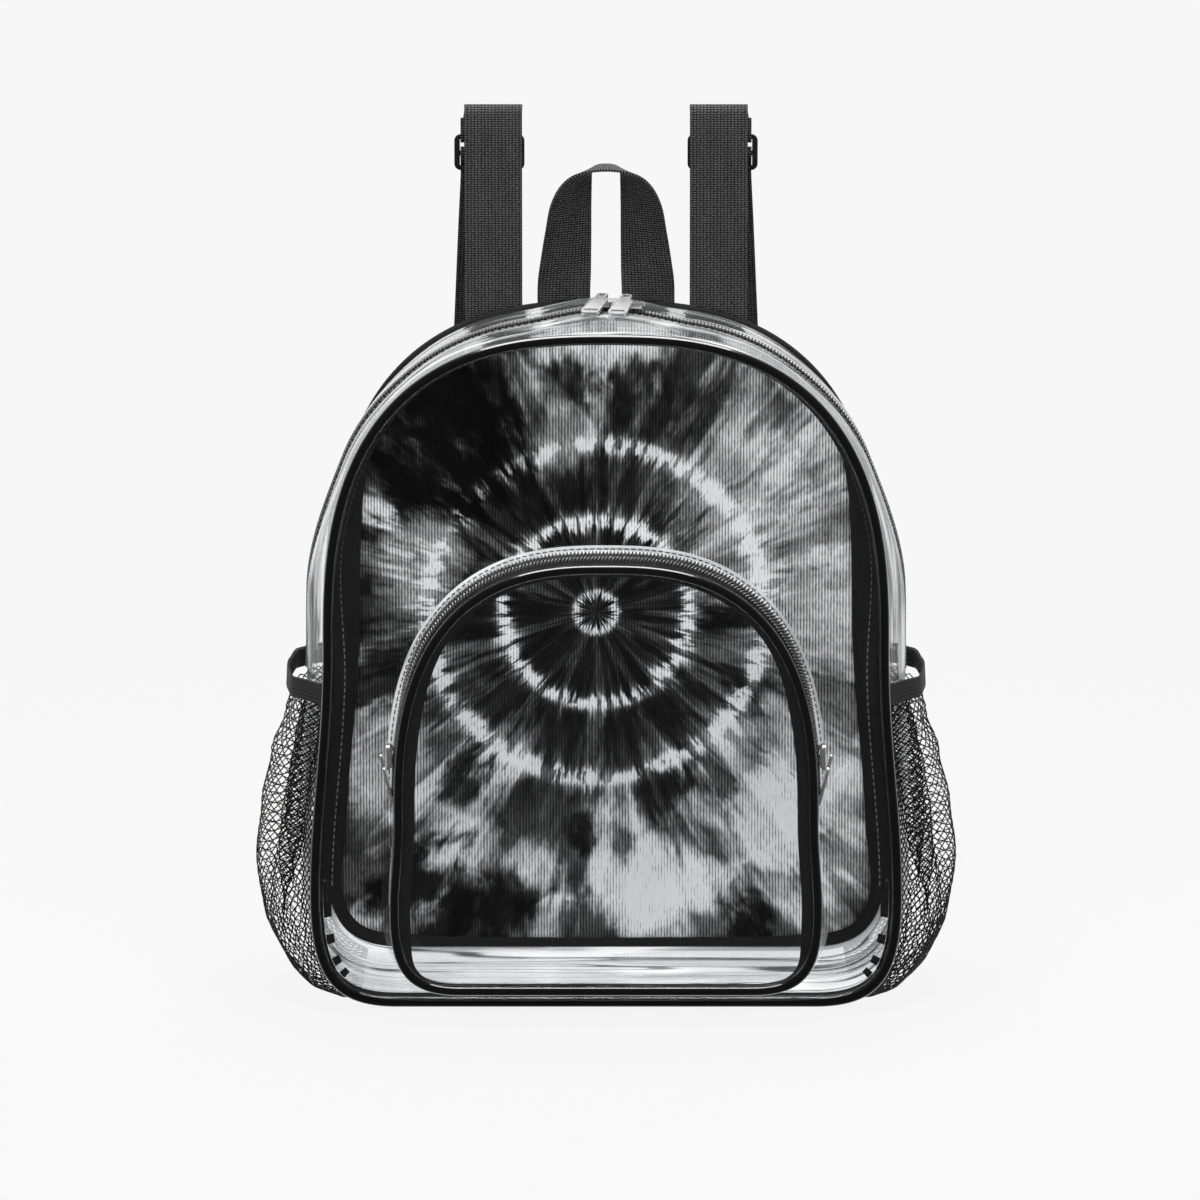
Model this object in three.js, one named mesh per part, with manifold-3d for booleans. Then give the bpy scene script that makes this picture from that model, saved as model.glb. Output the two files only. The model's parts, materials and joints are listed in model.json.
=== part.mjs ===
// A clear vinyl backpack of stadium size, standing on its base with its straps up.
// The arched front, the gusset round it and the front pocket are clear sheet, the back is one printed
// cloth panel, and black piping and binding close the seams. Two net pockets sit on the sides.
// Lengths are in millimetres. The front faces -Y, +X is to the right and +Z is up.
import * as THREE from "three";
import { mergeVertices } from "three/addons/utils/BufferGeometryUtils.js";
import Module from "manifold-3d";

const wasm = await Module();
wasm.setup();

// Sheets, webbing and the gap that separate pieces keep
const GAP = 0.3;
const VINYL_THICKNESS = 1;
const BACK_THICKNESS = 2;
const TAPE_THICKNESS = 0.8;
const NET_THICKNESS = 1.2;
const ELASTIC_THICKNESS = 1.8;
const WEBBING_THICKNESS = 1.1;

// The body, seen from the front: a flared foot with round corners under a superellipse arch
const BODY_HEIGHT = 306;
const BODY_DEPTH = 120;
const BODY_HALF_WIDTH = 126.5;
const BODY_ARCH_START = 165;
const BODY_FOOT_FLARE = 6.5;
const BODY_FOOT_HEIGHT = 49;
const BODY_BASE_INSET = 37;
const ARCH_POWER = 2.65;
const CORNER_PULL = 0.75;
const SIDE_BULGE = 10;
const BULGE_RUN_SHARE = 0.22;
const FRONT_CROWN = 4;

// Piping on the front seam and binding on the back seam, each a bead with a flat flange inside
const PIPING_RADIUS = 2.5;
const PIPING_FLANGE = 8;
const BINDING_RADIUS = 2.5;
const BINDING_FLANGE = 5;
const FLANGE_THICKNESS = 1.2;
const PIPING_FLANGE_TURN = 150;
const BINDING_FLANGE_TURN = 220;

// Main zipper, which runs over the arch from one side pocket to the other
const ZIPPER_SETBACK = 54;
const ZIPPER_END_TUCK = 1;
const ZIPPER_TAPE_WIDTH = 10;
const CHAIN_WIDTH = 6;
const CHAIN_THICKNESS = 1.6;
const RIGHT_SLIDER_PLACE = 11.8;
const RIGHT_PULL_INSET = 2.6;
const RIGHT_PULL_SKEW = 12;
const LEFT_SLIDER_PLACE = -2.8;
const LEFT_PULL_INSET = -1.4;
const LEFT_PULL_SKEW = 17;

// Front pocket
const POCKET_BASE_HEIGHT = 12;
const POCKET_HEIGHT = 194;
const POCKET_DEPTH = 32;
const POCKET_HALF_WIDTH = 94;
const POCKET_ARCH_START = 79;
const POCKET_FOOT_FLARE = 2;
const POCKET_FOOT_HEIGHT = 36;
const POCKET_BASE_INSET = 30;
const POCKET_SPREAD = 3;
const POCKET_HEM = 3.5;
const POCKET_CROWN = 3;
const POCKET_PIPING_RADIUS = 2.2;
const POCKET_PIPING_FLANGE = 6;
const POCKET_ZIPPER_SETBACK = 15;
const POCKET_ZIPPER_END_HEIGHT = 100;
const POCKET_TAPE_WIDTH = 4;
const POCKET_CHAIN_WIDTH = 5;

// Side pockets of net under an elastic band
const NET_REACH = 22.8;
const NET_SEAM_SHARE = 0.265;
const NET_TOP_HEIGHT = 137;
const ELASTIC_WIDTH = 10;
const NET_HOLE_WIDTH = 17;
const NET_HOLE_HEIGHT = 20;
const NET_CORD_WIDTH = 5.5;
const NET_HOLE_MARGIN = 15;

// Shoulder straps, their slide buckles and the grab handle
const STRAP_WIDTH = 27;
const STRAP_OFFSET = 52.6;
const STRAP_FOOT_OFFSET = 72;
const STRAP_RISE = 93;
const STRAP_FOLD = 8.5;
const STRAP_SEWN_LENGTH = 34;
const STRAP_BOW = 41;
const STRAP_TAIL = 38;
const BUCKLE_DROP = 23;
const BUCKLE_SHIFT = 1.9;
const BUCKLE_BAR = 2;
const BUCKLE_THICKNESS = 1.8;
const BUCKLE_UPPER_SLOT = 6;
const BUCKLE_LOWER_SLOT = 4.8;
const BUCKLE_SIDE = 2.6;
const BUCKLE_CORNER = 3;
const HANDLE_WIDTH = 24.7;
const HANDLE_OPENING = 14.6;
const HANDLE_RISE = 64;
const HANDLE_SEWN_LENGTH = 24;

// Zipper sliders and their pull tabs
const SLIDER_LENGTH = 12;
const SLIDER_WIDTH = 8;
const SLIDER_PLATE = 1.8;
const LUG_THICKNESS = 1.2;
const LUG_DEPTH = 3.2;
const LUG_TOP = 1.3;
const BAR_RADIUS = 0.75;
const BAR_HEIGHT = 2.6;
const KNUCKLE_RADIUS = 1.9;
const KNUCKLE_WIDTH = 3.6;
const TAB_LENGTH = 23;
const TAB_WIDTH = 8.5;
const TAB_THICKNESS = 1.2;
const TAB_NECK = 3.6;
const TAB_SLOT_WIDTH = 6.2;
const TAB_SLOT_HEIGHT = 2.2;

// How fine the faceted solids are
const RING_STEPS = 44;
const POCKET_RING_STEPS = 36;
const BEAD_SIDES = 5;
const OUTLINE_SAMPLES = 240;
const ARCH_SAMPLES = 48;
const SPREAD_SAMPLES = 480;
const ROD_SIDES = 8;
const TURN_WEIGHT = 90;

// Bulge of the gusset beyond the seams, as a share of SIDE_BULGE, along half the outline from the
// middle of the base (0) to the middle of the arch (1). The base is level up to its corners.
const GUSSET_BULGE = [
  { along: 0, bulge: 0.3 },
  { along: 0.24, bulge: 0.3 },
  { along: 0.38, bulge: 0.7 },
  { along: 0.48, bulge: 1 },
  { along: 0.6, bulge: 1 },
  { along: 0.72, bulge: 0.4 },
  { along: 0.82, bulge: 0.15 },
  { along: 0.92, bulge: 0.2 },
  { along: 1, bulge: 0.6 },
];

// Side pocket: reach and sag as shares of NET_REACH, from its lower seam (0) to the elastic (1)
const NET_SECTIONS = [
  { along: 0, reach: 0, sag: 0 },
  { along: 0.03, reach: 0.35, sag: 0.14 },
  { along: 0.08, reach: 0.6, sag: 0.2 },
  { along: 0.16, reach: 0.74, sag: 0.14 },
  { along: 0.28, reach: 0.9, sag: 0.05 },
  { along: 0.45, reach: 1, sag: 0 },
  { along: 0.62, reach: 0.93, sag: 0 },
  { along: 0.78, reach: 0.72, sag: 0 },
  { along: 0.9, reach: 0.47, sag: 0 },
  { along: 1, reach: 0.36, sag: 0 },
];

// Rear strand of a shoulder strap below its buckle: height and bow as shares, from top to foot
const STRAP_SECTIONS = [
  { height: 0.93, bow: 0.52 },
  { height: 0.8, bow: 0.72 },
  { height: 0.6, bow: 0.95 },
  { height: 0.44, bow: 1 },
  { height: 0.28, bow: 0.84 },
  { height: 0.14, bow: 0.5 },
  { height: 0.07, bow: 0.2 },
];

// One leg of the grab handle, from its foot to the crest: rise and centre as shares, twist in degrees
const HANDLE_SECTIONS = [
  { rise: 0.12, centre: 1, twist: 2 },
  { rise: 0.3, centre: 0.96, twist: 18 },
  { rise: 0.52, centre: 0.9, twist: 32 },
  { rise: 0.74, centre: 0.83, twist: 43 },
  { rise: 0.88, centre: 0.7, twist: 58 },
  { rise: 0.955, centre: 0.54, twist: 72 },
  { rise: 0.99, centre: 0.3, twist: 84 },
];

// Places that follow from the sizes
const FRONT_Y = -BODY_DEPTH / 2;
const BACK_Y = BODY_DEPTH / 2;
const ZIPPER_Y = FRONT_Y + ZIPPER_SETBACK;
const SEAM_CLEARANCE = PIPING_RADIUS + GAP;
const BINDING_CLEARANCE = BINDING_RADIUS + GAP;
const SEWN_BACK_Y = BACK_Y + BACK_THICKNESS / 2 + 2 * GAP + WEBBING_THICKNESS / 2;
const OVER_BINDING_Y = BACK_Y + BINDING_CLEARANCE + WEBBING_THICKNESS / 2 + 0.1;

const materials = {
  vinyl: new THREE.MeshStandardMaterial({
    color: 0xe4e8ea,
    roughness: 0.08,
    metalness: 0,
    transparent: true,
    opacity: 0.25,
    side: THREE.DoubleSide,
  }),
  print: new THREE.MeshStandardMaterial({ color: 0x6a6a6a, roughness: 0.85, metalness: 0 }),
  piping: new THREE.MeshStandardMaterial({ color: 0x101010, roughness: 0.3, metalness: 0 }),
  tape: new THREE.MeshStandardMaterial({ color: 0x1c1c1c, roughness: 0.8, metalness: 0 }),
  chain: new THREE.MeshStandardMaterial({ color: 0x141414, roughness: 0.4, metalness: 0 }),
  net: new THREE.MeshStandardMaterial({ color: 0x151515, roughness: 0.7, metalness: 0 }),
  elastic: new THREE.MeshStandardMaterial({ color: 0x262626, roughness: 0.8, metalness: 0 }),
  webbing: new THREE.MeshStandardMaterial({ color: 0x2e2e2e, roughness: 0.75, metalness: 0 }),
  buckle: new THREE.MeshStandardMaterial({ color: 0x121212, roughness: 0.35, metalness: 0 }),
  metal: new THREE.MeshStandardMaterial({ color: 0xd2d2d2, roughness: 0.2, metalness: 1 }),
};

function smooth(share) {
  const s = Math.min(1, Math.max(0, share));
  return s * s * (3 - 2 * s);
}

function mix(a, b, share) {
  return a + (b - a) * share;
}

function range(from, to, steps) {
  return Array.from({ length: steps + 1 }, (_, i) => mix(from, to, i / steps));
}

// A value of a table's named column at a place given in another column
function lookUp(table, column, place, key = "along") {
  const next = table.findIndex((row) => row[key] >= place);
  if (next < 0) return table[table.length - 1][column];
  if (next === 0) return table[0][column];
  const [a, b] = [table[next - 1], table[next]];
  return mix(a[column], b[column], smooth((place - a[key]) / (b[key] - a[key])));
}

// An outline in the XZ plane. at(s) gives its point and outward normal, where s runs from the middle
// of the base (0) up the right side to the middle of the arch (1) and down the left side (2).
function makeOutline({ base, height, halfWidth, archStart, footHalfWidth, footHeight, baseHalfWidth }) {
  const half = new THREE.Path();
  const foot = base + footHeight;
  const start = base + archStart;
  half.moveTo(0, base);
  half.lineTo(baseHalfWidth, base);
  half.bezierCurveTo(
    mix(baseHalfWidth, footHalfWidth, CORNER_PULL), base,
    footHalfWidth, mix(foot, base, CORNER_PULL),
    footHalfWidth, foot,
  );
  half.bezierCurveTo(
    footHalfWidth, mix(foot, start, 0.35),
    halfWidth, mix(foot, start, 0.6),
    halfWidth, start,
  );
  for (const turn of range(0, Math.PI / 2, ARCH_SAMPLES).slice(1)) {
    half.lineTo(
      halfWidth * Math.max(0, Math.cos(turn)) ** (2 / ARCH_POWER),
      start + (height - archStart) * Math.sin(turn) ** (2 / ARCH_POWER),
    );
  }
  const points = half.getSpacedPoints(OUTLINE_SAMPLES);
  points[OUTLINE_SAMPLES].x = 0;
  const pointOn = (i) => {
    if (i < 0) return new THREE.Vector2(-points[-i].x, points[-i].y);
    const past = i - OUTLINE_SAMPLES;
    if (past <= 0) return points[i];
    const facing = points[OUTLINE_SAMPLES - past];
    return new THREE.Vector2(-facing.x, facing.y);
  };
  const normals = points.map((_, i) => {
    const run = pointOn(i + 1).clone().sub(pointOn(i - 1)).normalize();
    return new THREE.Vector2(run.y, -run.x);
  });
  const at = (s) => {
    const turned = ((s % 2) + 2) % 2;
    const side = turned > 1 ? -1 : 1;
    const place = (side > 0 ? turned : 2 - turned) * OUTLINE_SAMPLES;
    const i = Math.min(OUTLINE_SAMPLES - 1, Math.floor(place));
    const point = points[i].clone().lerp(points[i + 1], place - i);
    const normal = normals[i].clone().lerp(normals[i + 1], place - i).normalize();
    return { x: side * point.x, z: point.y, nx: side * normal.x, nz: normal.y };
  };
  const shareAtHeight = (z) => {
    const i = Math.max(1, points.findIndex((p) => p.y >= z));
    return (i - 1 + (z - points[i - 1].y) / (points[i].y - points[i - 1].y)) / OUTLINE_SAMPLES;
  };
  // Shares between two others, closer together where the outline turns
  const spread = (from, to, steps) => {
    const fine = range(from, to, SPREAD_SAMPLES);
    const places = fine.map(at);
    const run = [0];
    for (let i = 1; i < fine.length; i += 1) {
      const [a, b] = [places[i - 1], places[i]];
      const turn = Math.acos(Math.min(1, a.nx * b.nx + a.nz * b.nz));
      run.push(run[i - 1] + Math.hypot(b.x - a.x, b.z - a.z) + TURN_WEIGHT * turn);
    }
    return range(0, run[SPREAD_SAMPLES], steps).map((target) => {
      const next = Math.max(1, run.findIndex((r) => r >= target - 1e-9));
      return mix(fine[next - 1], fine[next], (target - run[next - 1]) / (run[next] - run[next - 1]));
    });
  };
  const centre = { x: 0, z: base + height / 2 };
  // How far out a point lies, from the centre (0) to the outline (1)
  const reachOf = (x, z) => {
    const bearing = Math.atan2(Math.abs(x), z - centre.z);
    const i = points.findIndex((p) => Math.atan2(p.x, p.y - centre.z) <= bearing);
    const edge = points[Math.max(0, i)];
    return Math.hypot(x, z - centre.z) / Math.hypot(edge.x, edge.y - centre.z);
  };
  return { at, shareAtHeight, spread, reachOf, centre, length: half.getLength() };
}

const body = makeOutline({
  base: 0,
  height: BODY_HEIGHT,
  halfWidth: BODY_HALF_WIDTH,
  archStart: BODY_ARCH_START,
  footHalfWidth: BODY_HALF_WIDTH + BODY_FOOT_FLARE,
  footHeight: BODY_FOOT_HEIGHT,
  baseHalfWidth: BODY_HALF_WIDTH + BODY_FOOT_FLARE - BODY_BASE_INSET,
});

const pocket = makeOutline({
  base: POCKET_BASE_HEIGHT,
  height: POCKET_HEIGHT,
  halfWidth: POCKET_HALF_WIDTH,
  archStart: POCKET_ARCH_START,
  footHalfWidth: POCKET_HALF_WIDTH + POCKET_FOOT_FLARE,
  footHeight: POCKET_FOOT_HEIGHT,
  baseHalfWidth: POCKET_HALF_WIDTH + POCKET_FOOT_FLARE - POCKET_BASE_INSET,
});

// A geometry from points and faces, turned so that its faces point out
function closedGeometry(points, faces) {
  const corner = (i) => points[i];
  const volume = faces.reduce(
    (sum, [a, b, c]) => sum + corner(a).dot(new THREE.Vector3().crossVectors(corner(b), corner(c))),
    0,
  );
  const ordered = volume < 0 ? faces.map(([a, b, c]) => [a, c, b]) : faces;
  const geometry = new THREE.BufferGeometry().setFromPoints(points);
  geometry.setIndex(ordered.flat());
  geometry.computeVertexNormals();
  return geometry;
}

function quad(a, b, c, d) {
  return [[a, b, c], [a, c, d]];
}

// A sheet of even thickness whose middle surface passes through the points of a grid
function sheetGeometry(grid, thickness) {
  const rows = grid.length;
  const columns = grid[0].length;
  const normalAt = (i, j) => {
    const along = grid[Math.min(rows - 1, i + 1)][j].clone().sub(grid[Math.max(0, i - 1)][j]);
    const across = grid[i][Math.min(columns - 1, j + 1)].clone().sub(grid[i][Math.max(0, j - 1)]);
    return along.cross(across).normalize();
  };
  const side = (way) =>
    grid.flatMap((row, i) =>
      row.map((point, j) => point.clone().addScaledVector(normalAt(i, j), (way * thickness) / 2)),
    );
  const points = [...side(1), ...side(-1)];
  const top = (i, j) => i * columns + j;
  const under = (i, j) => rows * columns + top(i, j);
  const faces = [];
  for (let i = 0; i < rows - 1; i += 1) {
    for (let j = 0; j < columns - 1; j += 1) {
      faces.push(...quad(top(i, j), top(i, j + 1), top(i + 1, j + 1), top(i + 1, j)));
      faces.push(...quad(under(i, j), under(i + 1, j), under(i + 1, j + 1), under(i, j + 1)));
    }
    faces.push(...quad(top(i, 0), top(i + 1, 0), under(i + 1, 0), under(i, 0)));
    const last = columns - 1;
    faces.push(...quad(top(i, last), under(i, last), under(i + 1, last), top(i + 1, last)));
  }
  for (let j = 0; j < columns - 1; j += 1) {
    faces.push(...quad(top(0, j), under(0, j), under(0, j + 1), top(0, j + 1)));
    const last = rows - 1;
    faces.push(...quad(top(last, j), top(last, j + 1), under(last, j + 1), under(last, j)));
  }
  return closedGeometry(points, faces);
}

// A panel that fills an outline, inset from it, crowned along -Y from its middle plane at y
function panelGeometry(outline, { inset, y, crown, thickness, steps, rings }) {
  const edge = outline
    .spread(0, 2, steps)
    .slice(0, steps)
    .map((s) => {
      const { x, z, nx, nz } = outline.at(s);
      return { x: x - nx * inset, z: z - nz * inset };
    });
  const { centre } = outline;
  const points = [];
  for (const way of [-1, 1]) {
    points.push(new THREE.Vector3(centre.x, y - crown + (way * thickness) / 2, centre.z));
    for (const ring of rings) {
      const level = y - crown * (1 - ring ** 3) + (way * thickness) / 2;
      for (const p of edge) {
        points.push(new THREE.Vector3(mix(centre.x, p.x, ring), level, mix(centre.z, p.z, ring)));
      }
    }
  }
  const perSide = 1 + rings.length * steps;
  const spot = (side, ring, i) => side * perSide + 1 + ring * steps + (i % steps);
  const faces = [];
  for (let i = 0; i < steps; i += 1) {
    faces.push([0, spot(0, 0, i), spot(0, 0, i + 1)]);
    faces.push([perSide, spot(1, 0, i + 1), spot(1, 0, i)]);
    for (let r = 0; r < rings.length - 1; r += 1) {
      faces.push(...quad(spot(0, r, i), spot(0, r + 1, i), spot(0, r + 1, i + 1), spot(0, r, i + 1)));
      faces.push(...quad(spot(1, r, i), spot(1, r, i + 1), spot(1, r + 1, i + 1), spot(1, r + 1, i)));
    }
    const rim = rings.length - 1;
    faces.push(...quad(spot(0, rim, i), spot(1, rim, i), spot(1, rim, i + 1), spot(0, rim, i + 1)));
  }
  return closedGeometry(points, faces);
}

// A round bead with a flat flange, swept round an outline in the plane y. The flange's turn is
// measured from the outward normal towards +Y.
function beadGeometry(outline, { y, radius, flange, turn, steps }) {
  const middle = THREE.MathUtils.degToRad(turn);
  const opening = Math.asin(FLANGE_THICKNESS / 2 / radius);
  const section = range(middle + opening, middle - opening + 2 * Math.PI, BEAD_SIDES).map((a) => ({
    out: radius * Math.cos(a),
    back: radius * Math.sin(a),
  }));
  for (const way of [-1, 1]) {
    section.push({
      out: (radius + flange) * Math.cos(middle) - ((way * FLANGE_THICKNESS) / 2) * Math.sin(middle),
      back: (radius + flange) * Math.sin(middle) + ((way * FLANGE_THICKNESS) / 2) * Math.cos(middle),
    });
  }
  const points = outline
    .spread(0, 2, steps)
    .slice(0, steps)
    .flatMap((s) => {
      const { x, z, nx, nz } = outline.at(s);
      return section.map(({ out, back }) => new THREE.Vector3(x + nx * out, y + back, z + nz * out));
    });
  const sides = section.length;
  const spot = (i, k) => (i % steps) * sides + (k % sides);
  const faces = [];
  for (let i = 0; i < steps; i += 1) {
    for (let k = 0; k < sides; k += 1) {
      faces.push(...quad(spot(i, k), spot(i + 1, k), spot(i + 1, k + 1), spot(i, k + 1)));
    }
  }
  return closedGeometry(points, faces);
}

// Webbing of a width across X, along a path of { y, z } with its middle at x
function webbingGeometry(path, width) {
  const grid = path.map(({ x, y, z }) => [
    new THREE.Vector3(x - width / 2, y, z),
    new THREE.Vector3(x + width / 2, y, z),
  ]);
  return sheetGeometry(grid, WEBBING_THICKNESS);
}

function toSolid(geometry) {
  const bare = geometry.index ? geometry.toNonIndexed() : geometry.clone();
  bare.deleteAttribute("normal");
  bare.deleteAttribute("uv");
  const merged = mergeVertices(bare, 1e-4);
  return new wasm.Manifold(
    new wasm.Mesh({
      numProp: 3,
      vertProperties: new Float32Array(merged.attributes.position.array),
      triVerts: new Uint32Array(merged.index.array),
    }),
  );
}

function fromSolid(solid) {
  const mesh = solid.getMesh();
  const geometry = new THREE.BufferGeometry();
  geometry.setAttribute("position", new THREE.BufferAttribute(new Float32Array(mesh.vertProperties), 3));
  geometry.setIndex(new THREE.BufferAttribute(new Uint32Array(mesh.triVerts), 1));
  geometry.computeVertexNormals();
  return geometry;
}

const pack = new THREE.Group();

function addPiece(name, geometry, material, parent = pack) {
  const mesh = new THREE.Mesh(geometry, material);
  mesh.name = name;
  parent.add(mesh);
  return mesh;
}

// Gusset of the body

// A point of the gusset at share s of the outline and depth y, lifted along the outward normal
function gussetPoint(s, y, lift = 0) {
  const { x, z, nx, nz } = body.at(s);
  const depthShare = (y - FRONT_Y) / BODY_DEPTH;
  const rise = smooth(Math.min(depthShare, 1 - depthShare) / BULGE_RUN_SHARE);
  const halfShare = s > 1 ? 2 - s : Math.abs(s);
  const out = SIDE_BULGE * lookUp(GUSSET_BULGE, "bulge", halfShare) * rise + lift;
  return new THREE.Vector3(x + nx * out, y, z + nz * out);
}

function gussetStrip(from, to, steps, depths, thickness, lift = 0) {
  const grid = body.spread(from, to, steps).map((s) => depths.map((y) => gussetPoint(s, y, lift)));
  return sheetGeometry(grid, thickness);
}

const frontEdgeY = FRONT_Y + SEAM_CLEARANCE;
const backEdgeY = BACK_Y - BINDING_CLEARANCE;
const frontRunY = FRONT_Y + BULGE_RUN_SHARE * BODY_DEPTH;
const backRunY = BACK_Y - BULGE_RUN_SHARE * BODY_DEPTH;
const zipperShare = body.shareAtHeight(NET_TOP_HEIGHT + ELASTIC_WIDTH - ZIPPER_END_TUCK);
const endGap = GAP / BODY_HEIGHT;
const ARCH_STEPS = 28;
const LOWER_STEPS = 28;

function addBody() {
  addPiece(
    "front_panel",
    panelGeometry(body, {
      inset: SEAM_CLEARANCE,
      y: FRONT_Y,
      crown: FRONT_CROWN,
      thickness: VINYL_THICKNESS,
      steps: RING_STEPS,
      rings: [0.35, 0.6, 0.8, 1],
    }),
    materials.vinyl,
  );
  addPiece(
    "back_panel",
    panelGeometry(body, {
      inset: BINDING_CLEARANCE,
      y: BACK_Y,
      crown: 0,
      thickness: BACK_THICKNESS,
      steps: RING_STEPS,
      rings: [1],
    }),
    materials.print,
  );
  addPiece(
    "front_piping",
    beadGeometry(body, {
      y: FRONT_Y,
      radius: PIPING_RADIUS,
      flange: PIPING_FLANGE,
      turn: PIPING_FLANGE_TURN,
      steps: RING_STEPS,
    }),
    materials.piping,
  );
  addPiece(
    "back_binding",
    beadGeometry(body, {
      y: BACK_Y,
      radius: BINDING_RADIUS,
      flange: BINDING_FLANGE,
      turn: BINDING_FLANGE_TURN,
      steps: RING_STEPS,
    }),
    materials.piping,
  );
  addPiece(
    "gusset_lower",
    gussetStrip(
      -zipperShare,
      zipperShare,
      LOWER_STEPS,
      [frontEdgeY, mix(FRONT_Y, frontRunY, 0.4), frontRunY, backRunY, mix(BACK_Y, backRunY, 0.4), backEdgeY],
      VINYL_THICKNESS,
    ),
    materials.vinyl,
  );
}

function addMainZipper() {
  const from = zipperShare + endGap;
  const to = 2 - from;
  const tapeFrontY = ZIPPER_Y - ZIPPER_TAPE_WIDTH;
  const tapeBackY = ZIPPER_Y + ZIPPER_TAPE_WIDTH;
  const front = [frontEdgeY, mix(FRONT_Y, frontRunY, 0.4), frontRunY, tapeFrontY - GAP / 2];
  const back = [tapeBackY + GAP / 2, backRunY, mix(BACK_Y, backRunY, 0.4), backEdgeY];
  addPiece("gusset_front", gussetStrip(from, to, ARCH_STEPS, front, VINYL_THICKNESS), materials.vinyl);
  addPiece("gusset_back", gussetStrip(from, to, ARCH_STEPS, back, VINYL_THICKNESS), materials.vinyl);
  for (const [name, depths] of [
    ["zipper_tape_front", [tapeFrontY + GAP / 2, ZIPPER_Y - GAP / 2]],
    ["zipper_tape_back", [ZIPPER_Y + GAP / 2, tapeBackY - GAP / 2]],
  ]) {
    addPiece(name, gussetStrip(from, to, ARCH_STEPS, depths, TAPE_THICKNESS), materials.tape);
  }
  const chainLift = TAPE_THICKNESS / 2 + GAP + CHAIN_THICKNESS / 2;
  const chain = [ZIPPER_Y - CHAIN_WIDTH / 2, ZIPPER_Y + CHAIN_WIDTH / 2];
  addPiece(
    "zipper_chain",
    gussetStrip(from, to, ARCH_STEPS, chain, CHAIN_THICKNESS, chainLift),
    materials.chain,
  );
}

// Front pocket

const POCKET_FRONT_Y = FRONT_Y - POCKET_DEPTH;
const pocketSeat = VINYL_THICKNESS + GAP + 0.2;

// The front panel's middle plane at a point of the front
function frontPanelY(x, z) {
  return FRONT_Y - FRONT_CROWN * (1 - Math.min(1, body.reachOf(x, z)) ** 3);
}

// A point of the pocket's gusset at share s of the pocket outline and a distance from the front
// panel. Distances under 0 are the hem, which lies flat on the front panel.
function pocketGussetPoint(s, away, lift = 0) {
  const { x, z, nx, nz } = pocket.at(s);
  const depthShare = Math.max(0, away) / POCKET_DEPTH;
  const out = POCKET_SPREAD * (1 - depthShare) + Math.max(0, -away) + lift;
  const spot = { x: x + nx * out, z: z + nz * out };
  const rear = frontPanelY(spot.x, spot.z) - pocketSeat;
  return new THREE.Vector3(spot.x, mix(rear, POCKET_FRONT_Y, depthShare), spot.z);
}

function pocketStrip(from, to, steps, distances, thickness, lift = 0) {
  const grid = pocket
    .spread(from, to, steps)
    .map((s) => distances.map((d) => pocketGussetPoint(s, d, lift)));
  return sheetGeometry(grid, thickness);
}

const pocketZipperShare = pocket.shareAtHeight(POCKET_ZIPPER_END_HEIGHT);
const POCKET_ARCH_STEPS = 20;
const POCKET_LOWER_STEPS = 22;

function addPocket() {
  const seam = POCKET_DEPTH - POCKET_PIPING_RADIUS - 2 * GAP;
  const tapeBack = POCKET_ZIPPER_SETBACK - POCKET_TAPE_WIDTH;
  const from = pocketZipperShare + endGap;
  const to = 2 - from;
  addPiece(
    "pocket_front",
    panelGeometry(pocket, {
      inset: POCKET_PIPING_RADIUS + GAP,
      y: POCKET_FRONT_Y,
      crown: POCKET_CROWN,
      thickness: VINYL_THICKNESS,
      steps: POCKET_RING_STEPS,
      rings: [0.45, 0.8, 1],
    }),
    materials.vinyl,
  );
  addPiece(
    "pocket_piping",
    beadGeometry(pocket, {
      y: POCKET_FRONT_Y,
      radius: POCKET_PIPING_RADIUS,
      flange: POCKET_PIPING_FLANGE,
      turn: PIPING_FLANGE_TURN,
      steps: POCKET_RING_STEPS,
    }),
    materials.piping,
  );
  addPiece(
    "pocket_gusset_upper",
    pocketStrip(from, to, POCKET_ARCH_STEPS, [-POCKET_HEM, 0, tapeBack - GAP / 2], VINYL_THICKNESS),
    materials.vinyl,
  );
  addPiece(
    "pocket_gusset_lower",
    pocketStrip(
      -pocketZipperShare,
      pocketZipperShare,
      POCKET_LOWER_STEPS,
      [-POCKET_HEM, 0, seam],
      VINYL_THICKNESS,
    ),
    materials.vinyl,
  );
  for (const [name, distances] of [
    ["pocket_tape_back", [tapeBack + GAP / 2, POCKET_ZIPPER_SETBACK - GAP / 2]],
    ["pocket_tape_front", [POCKET_ZIPPER_SETBACK + GAP / 2, seam]],
  ]) {
    addPiece(name, pocketStrip(from, to, POCKET_ARCH_STEPS, distances, TAPE_THICKNESS), materials.tape);
  }
  const chainLift = TAPE_THICKNESS / 2 + GAP + CHAIN_THICKNESS / 2;
  const chain = [
    POCKET_ZIPPER_SETBACK - POCKET_CHAIN_WIDTH / 2,
    POCKET_ZIPPER_SETBACK + POCKET_CHAIN_WIDTH / 2,
  ];
  addPiece(
    "pocket_chain",
    pocketStrip(from, to, POCKET_ARCH_STEPS, chain, CHAIN_THICKNESS, chainLift),
    materials.chain,
  );
}

// Side pockets

const netBottomShare = NET_SEAM_SHARE;
const netTopShare = body.shareAtHeight(NET_TOP_HEIGHT);
const netFrontY = frontEdgeY + GAP;
const netBackY = backEdgeY - GAP;
const NET_DEPTH_STEPS = 8;

// A point of a side pocket's wall on the right side, standing off the gusset by a clearance
function netPoint(s, reach, sag, y, clearance) {
  const seam = gussetPoint(s, y, clearance);
  const arch = Math.sin(Math.PI * ((y - netFrontY) / (netBackY - netFrontY))) ** 0.75 || 0;
  return new THREE.Vector3(seam.x + NET_REACH * reach * arch, seam.y, seam.z - NET_REACH * sag * arch);
}

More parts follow.
